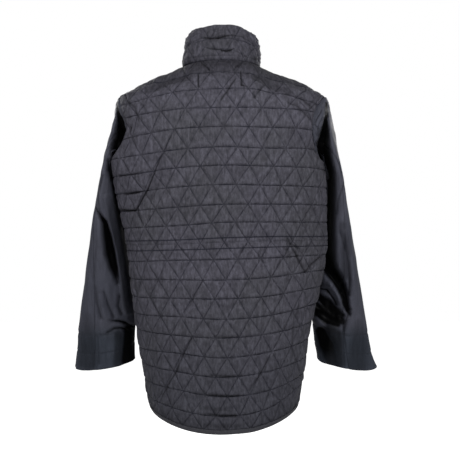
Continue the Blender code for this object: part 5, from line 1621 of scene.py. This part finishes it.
# The folded strip over the hem: an outer leg, half a turn round the bottom and an inner leg,
# carried along the hem line, with a piece of cloth's own size along and round it
def makeBinding(name, table, side, turned):
    across, hem = np.linspace(0, 1, binding["columns"]), np.zeros(binding["columns"])
    halves = [(side, across)] if side else [("right", np.linspace(1, 0, len(hem))), ("left", across[1:])]
    edge, normal, above = (np.concatenate(values) for values in zip(*(
        (bodyPoints(table, hem[:len(way)], way, part), bodyNormals(table, hem[:len(way)], way, part),
         bodyPoints(table, hem[:len(way)] + binding["upStep"], way, part)) for part, way in halves)))
    rising = unit(above - edge)
    outerOff, innerOff = binding["clear"], -cut["quiltedWall"] - binding["clear"]
    radius, middle = (outerOff - innerOff) / 2, (outerOff + innerOff) / 2
    leg = np.linspace(binding["over"], radius - binding["height"], binding["legRows"])
    turn = np.linspace(0, np.pi, binding["roundRows"] + 2)[1:-1]
    upward = np.concatenate([leg, radius - binding["height"] - radius * np.sin(turn), leg[::-1]])
    outward = np.concatenate([np.full(len(leg), outerOff), middle + radius * np.cos(turn),
                              np.full(len(leg), innerOff)])
    u = arcLengths(edge)
    part = np.linspace(0, 1, len(upward))[:, None]
    swell = wave(u[None, :], part, binding["swell"]) * np.sin(np.pi * part)
    stray = wave(u, u, binding["stray"])
    grid = (edge[None] + rising[None] * (upward[:, None] + stray[None, :])[..., None]
            + normal[None] * (outward[:, None] + swell * np.sign(outward[:, None] - middle))[..., None])
    first, last = grid[:, 0].copy(), grid[:, -1].copy()
    gap = cut["seamGap"] / 2
    grid[:, 0] = first + gap * unit(grid[:, 1] - first)
    grid[:, -1] = last + gap * unit(grid[:, -2] - last)
    girth = np.concatenate([[0], np.cumsum(np.hypot(np.diff(upward), np.diff(outward)))])
    piece = putGrid(name, grid, u[None, :], girth[:, None], "binding", binding["thickness"], turned)
    return piece, (float(u[-1]), float(girth[-1]))


print("zip")
zipParts = {
    "pitch": 0.0026, "depth": 0.00082,
    "rowSpace": 0.0025,         # at least this far between the rows of the CAD strips
    "nearTape": 0.009, "tapeThickness": 0.0007, "tapeRows": 420,
    "tapeSteps": (0, 0.06, 0.12, 0.2, 0.45, 0.75, 1),
    "tapeReach": 0.0024,        # how far the beaded edge comes in over the teeth
    "bead": (0.00002, 0.0001, 0.0001, 0, 0, 0, 0),
}
# Outline of one tooth: x from the tape towards the middle, then half its width along the zip, in mm
toothOutline = [(2.9, 0.52), (1.3, 0.45), (0.6, 0.78), (-0.2, 0.74), (-0.65, 0.4)]


# Middle points of the rows of a CAD strip, from its lowest row up
def nodeRows(name, pick):
    mesh = nodes[name].data
    points = np.zeros(len(mesh.vertices) * 3)
    mesh.vertices.foreach_get("co", points)
    points = np.unique(np.round(points.reshape(-1, 3), 6), axis=0)
    points = points[pick(np.abs(points[:, 0]))]
    points = points[np.argsort(points[:, 2])]
    starts = np.nonzero(np.diff(points[:, 2]) > zipParts["rowSpace"])[0] + 1
    return np.stack([group.mean(axis=0) for group in np.split(points, starts)])


# Evenly spaced points of a line, and its heading at each
def alongLine(line, count):
    even = evenly(line, count)[0]
    return even, unit(np.gradient(even, axis=0))


# Directions out of the garment's front, square to both
def forwards(heading, aside):
    outward = unit(np.cross(heading, aside))
    return outward * np.where(outward[:, 1] > 0, -1, 1)[:, None]


# The teeth of both sides, turn and turn about along the zip: each an outline raised to both sides
def makeTeeth():
    line = nodeRows("zip_chain", lambda x: x > 0)
    line[:, 0] = 0
    sideways = np.array([1.0, 0, 0])
    fine, heading = alongLine(line, 2 * int(arcLengths(line)[-1] / zipParts["pitch"]))
    outward = forwards(heading, sideways)
    outline = np.array(toothOutline) / 1000
    loop = np.concatenate([outline, outline[::-1] * np.array([1, -1])])
    corners = len(loop)
    k = np.arange(corners)
    sides = np.stack([k, (k + 1) % corners, (k + 1) % corners + corners, k + corners], axis=1)
    cap = np.array([(j, j + 1, corners - 2 - j, corners - 1 - j) for j in range(corners // 2 - 1)])
    shape = np.concatenate([sides, cap[:, ::-1], cap + corners])
    points, faces = [], []
    for side, first in ((1, 0), (-1, 1)):
        at, head, out = fine[first::2], heading[first::2], outward[first::2]
        flat = at[:, None] + side * loop[None, :, :1] * sideways + loop[None, :, 1:] * head[:, None]
        raised = zipParts["depth"] * out[:, None]
        shift = (np.arange(len(at)) * 2 * corners + sum(len(p) for p in points))[:, None, None]
        faces.append((shape[None, :, ::-side] + shift).reshape(-1, 4))
        points.append(np.concatenate([flat + raised, flat - raised], axis=1).reshape(-1, 3))
    piece = putMesh("zip_teeth", np.concatenate(points), np.concatenate(faces), finish=finishes["teeth"])
    piece.data.shade_flat()
    return piece


def makeTape(side):
    rows, limit = zipParts["tapeRows"], zipParts["nearTape"]
    near, heading = alongLine(nodeRows("zip_tape_" + side, lambda x: x < limit), rows)
    far = alongLine(nodeRows("zip_tape_" + side, lambda x: x > limit), rows)[0]
    near = near + zipParts["tapeReach"] * unit(near - far)
    across = np.array(zipParts["tapeSteps"])[None, :]
    bead = np.array(zipParts["bead"])[None, :, None]
    grid = (near[:, None] + (far - near)[:, None] * across[..., None]
            + forwards(heading, far - near)[:, None] * bead)
    length = arcLengths(near)
    width = float(np.linalg.norm(far - near, axis=1).mean())
    piece = putGrid("zip_tape_cloth_" + side, grid, length[:, None], across * width, "tape",
                    zipParts["tapeThickness"], side == "right")
    piece.modifiers["wall"].offset = 0
    return piece, (width, float(length[-1]))


# Area of one face of a piece of cloth, in square metres
def clothArea(piece):
    mesh = piece.data
    areas = np.zeros(len(mesh.polygons))
    mesh.polygons.foreach_get("area", areas)
    return float(areas.sum())


print("making the pieces")
quiltedBack, backStitches = makeBack()
quiltedFronts = {side: makeFront(side) for side in outwards}
sleeves = {side: makeSleeves(side) for side in outwards}
collarPiece, collarStitches = makeCollar()
bindings = {"back": makeBinding("binding_back", backRows, None, True),
            "front_left": makeBinding("binding_front_left", frontRows, "left", False),
            "front_right": makeBinding("binding_front_right", frontRows, "right", True)}
teeth = makeTeeth()
tapes = {side: makeTape(side) for side in outwards}

# Every piece of cloth as it is cut: the piece, its node and slot, the size of its rectangle in
# metres, how many of its faces its area is measured on and the pieces sewn to it
cloths = [
    (quiltedBack, "back", "quilted_cloth", (0.64, 0.86), 1, [backStitches]),
    (collarPiece, "collar", "quilted_cloth", (0.54, 0.1), 2, [collarStitches]),
]
for ending, (piece, flat) in bindings.items():
    cloths.append((piece, "hem_binding_" + ending, "binding", flat, 0, []))
for side, (front, stitches) in quiltedFronts.items():
    pieces, (tape, flat) = sleeves[side], tapes[side]
    cloths += [
        (front, "front_" + side, "quilted_cloth", (0.33, 0.84), 1, [stitches]),
        (pieces["upper"], "sleeve_upper_" + side, "plain_cloth", (0.28, 0.68), 1, [pieces["stitches"]]),
        (pieces["under"], "sleeve_under_" + side, "plain_cloth", (0.24, 0.62), 1, []),
        (tape, "zip_tape_" + side, "zip_tape", flat, 0, []),
    ]
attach(teeth, "garment")
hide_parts("zip_chain")
for piece, node, slot, flat, faces, sewn in cloths:
    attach(piece, "garment")
    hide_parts(node)
    for stitches in sewn:
        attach(stitches, "garment")
    clothArea(piece) / faces if faces else None
for name in ("zip_slider", "zip_pull", "zip_box"):
    nodes[name].data.materials.clear()
    nodes[name].data.materials.append(finishes["metal"])
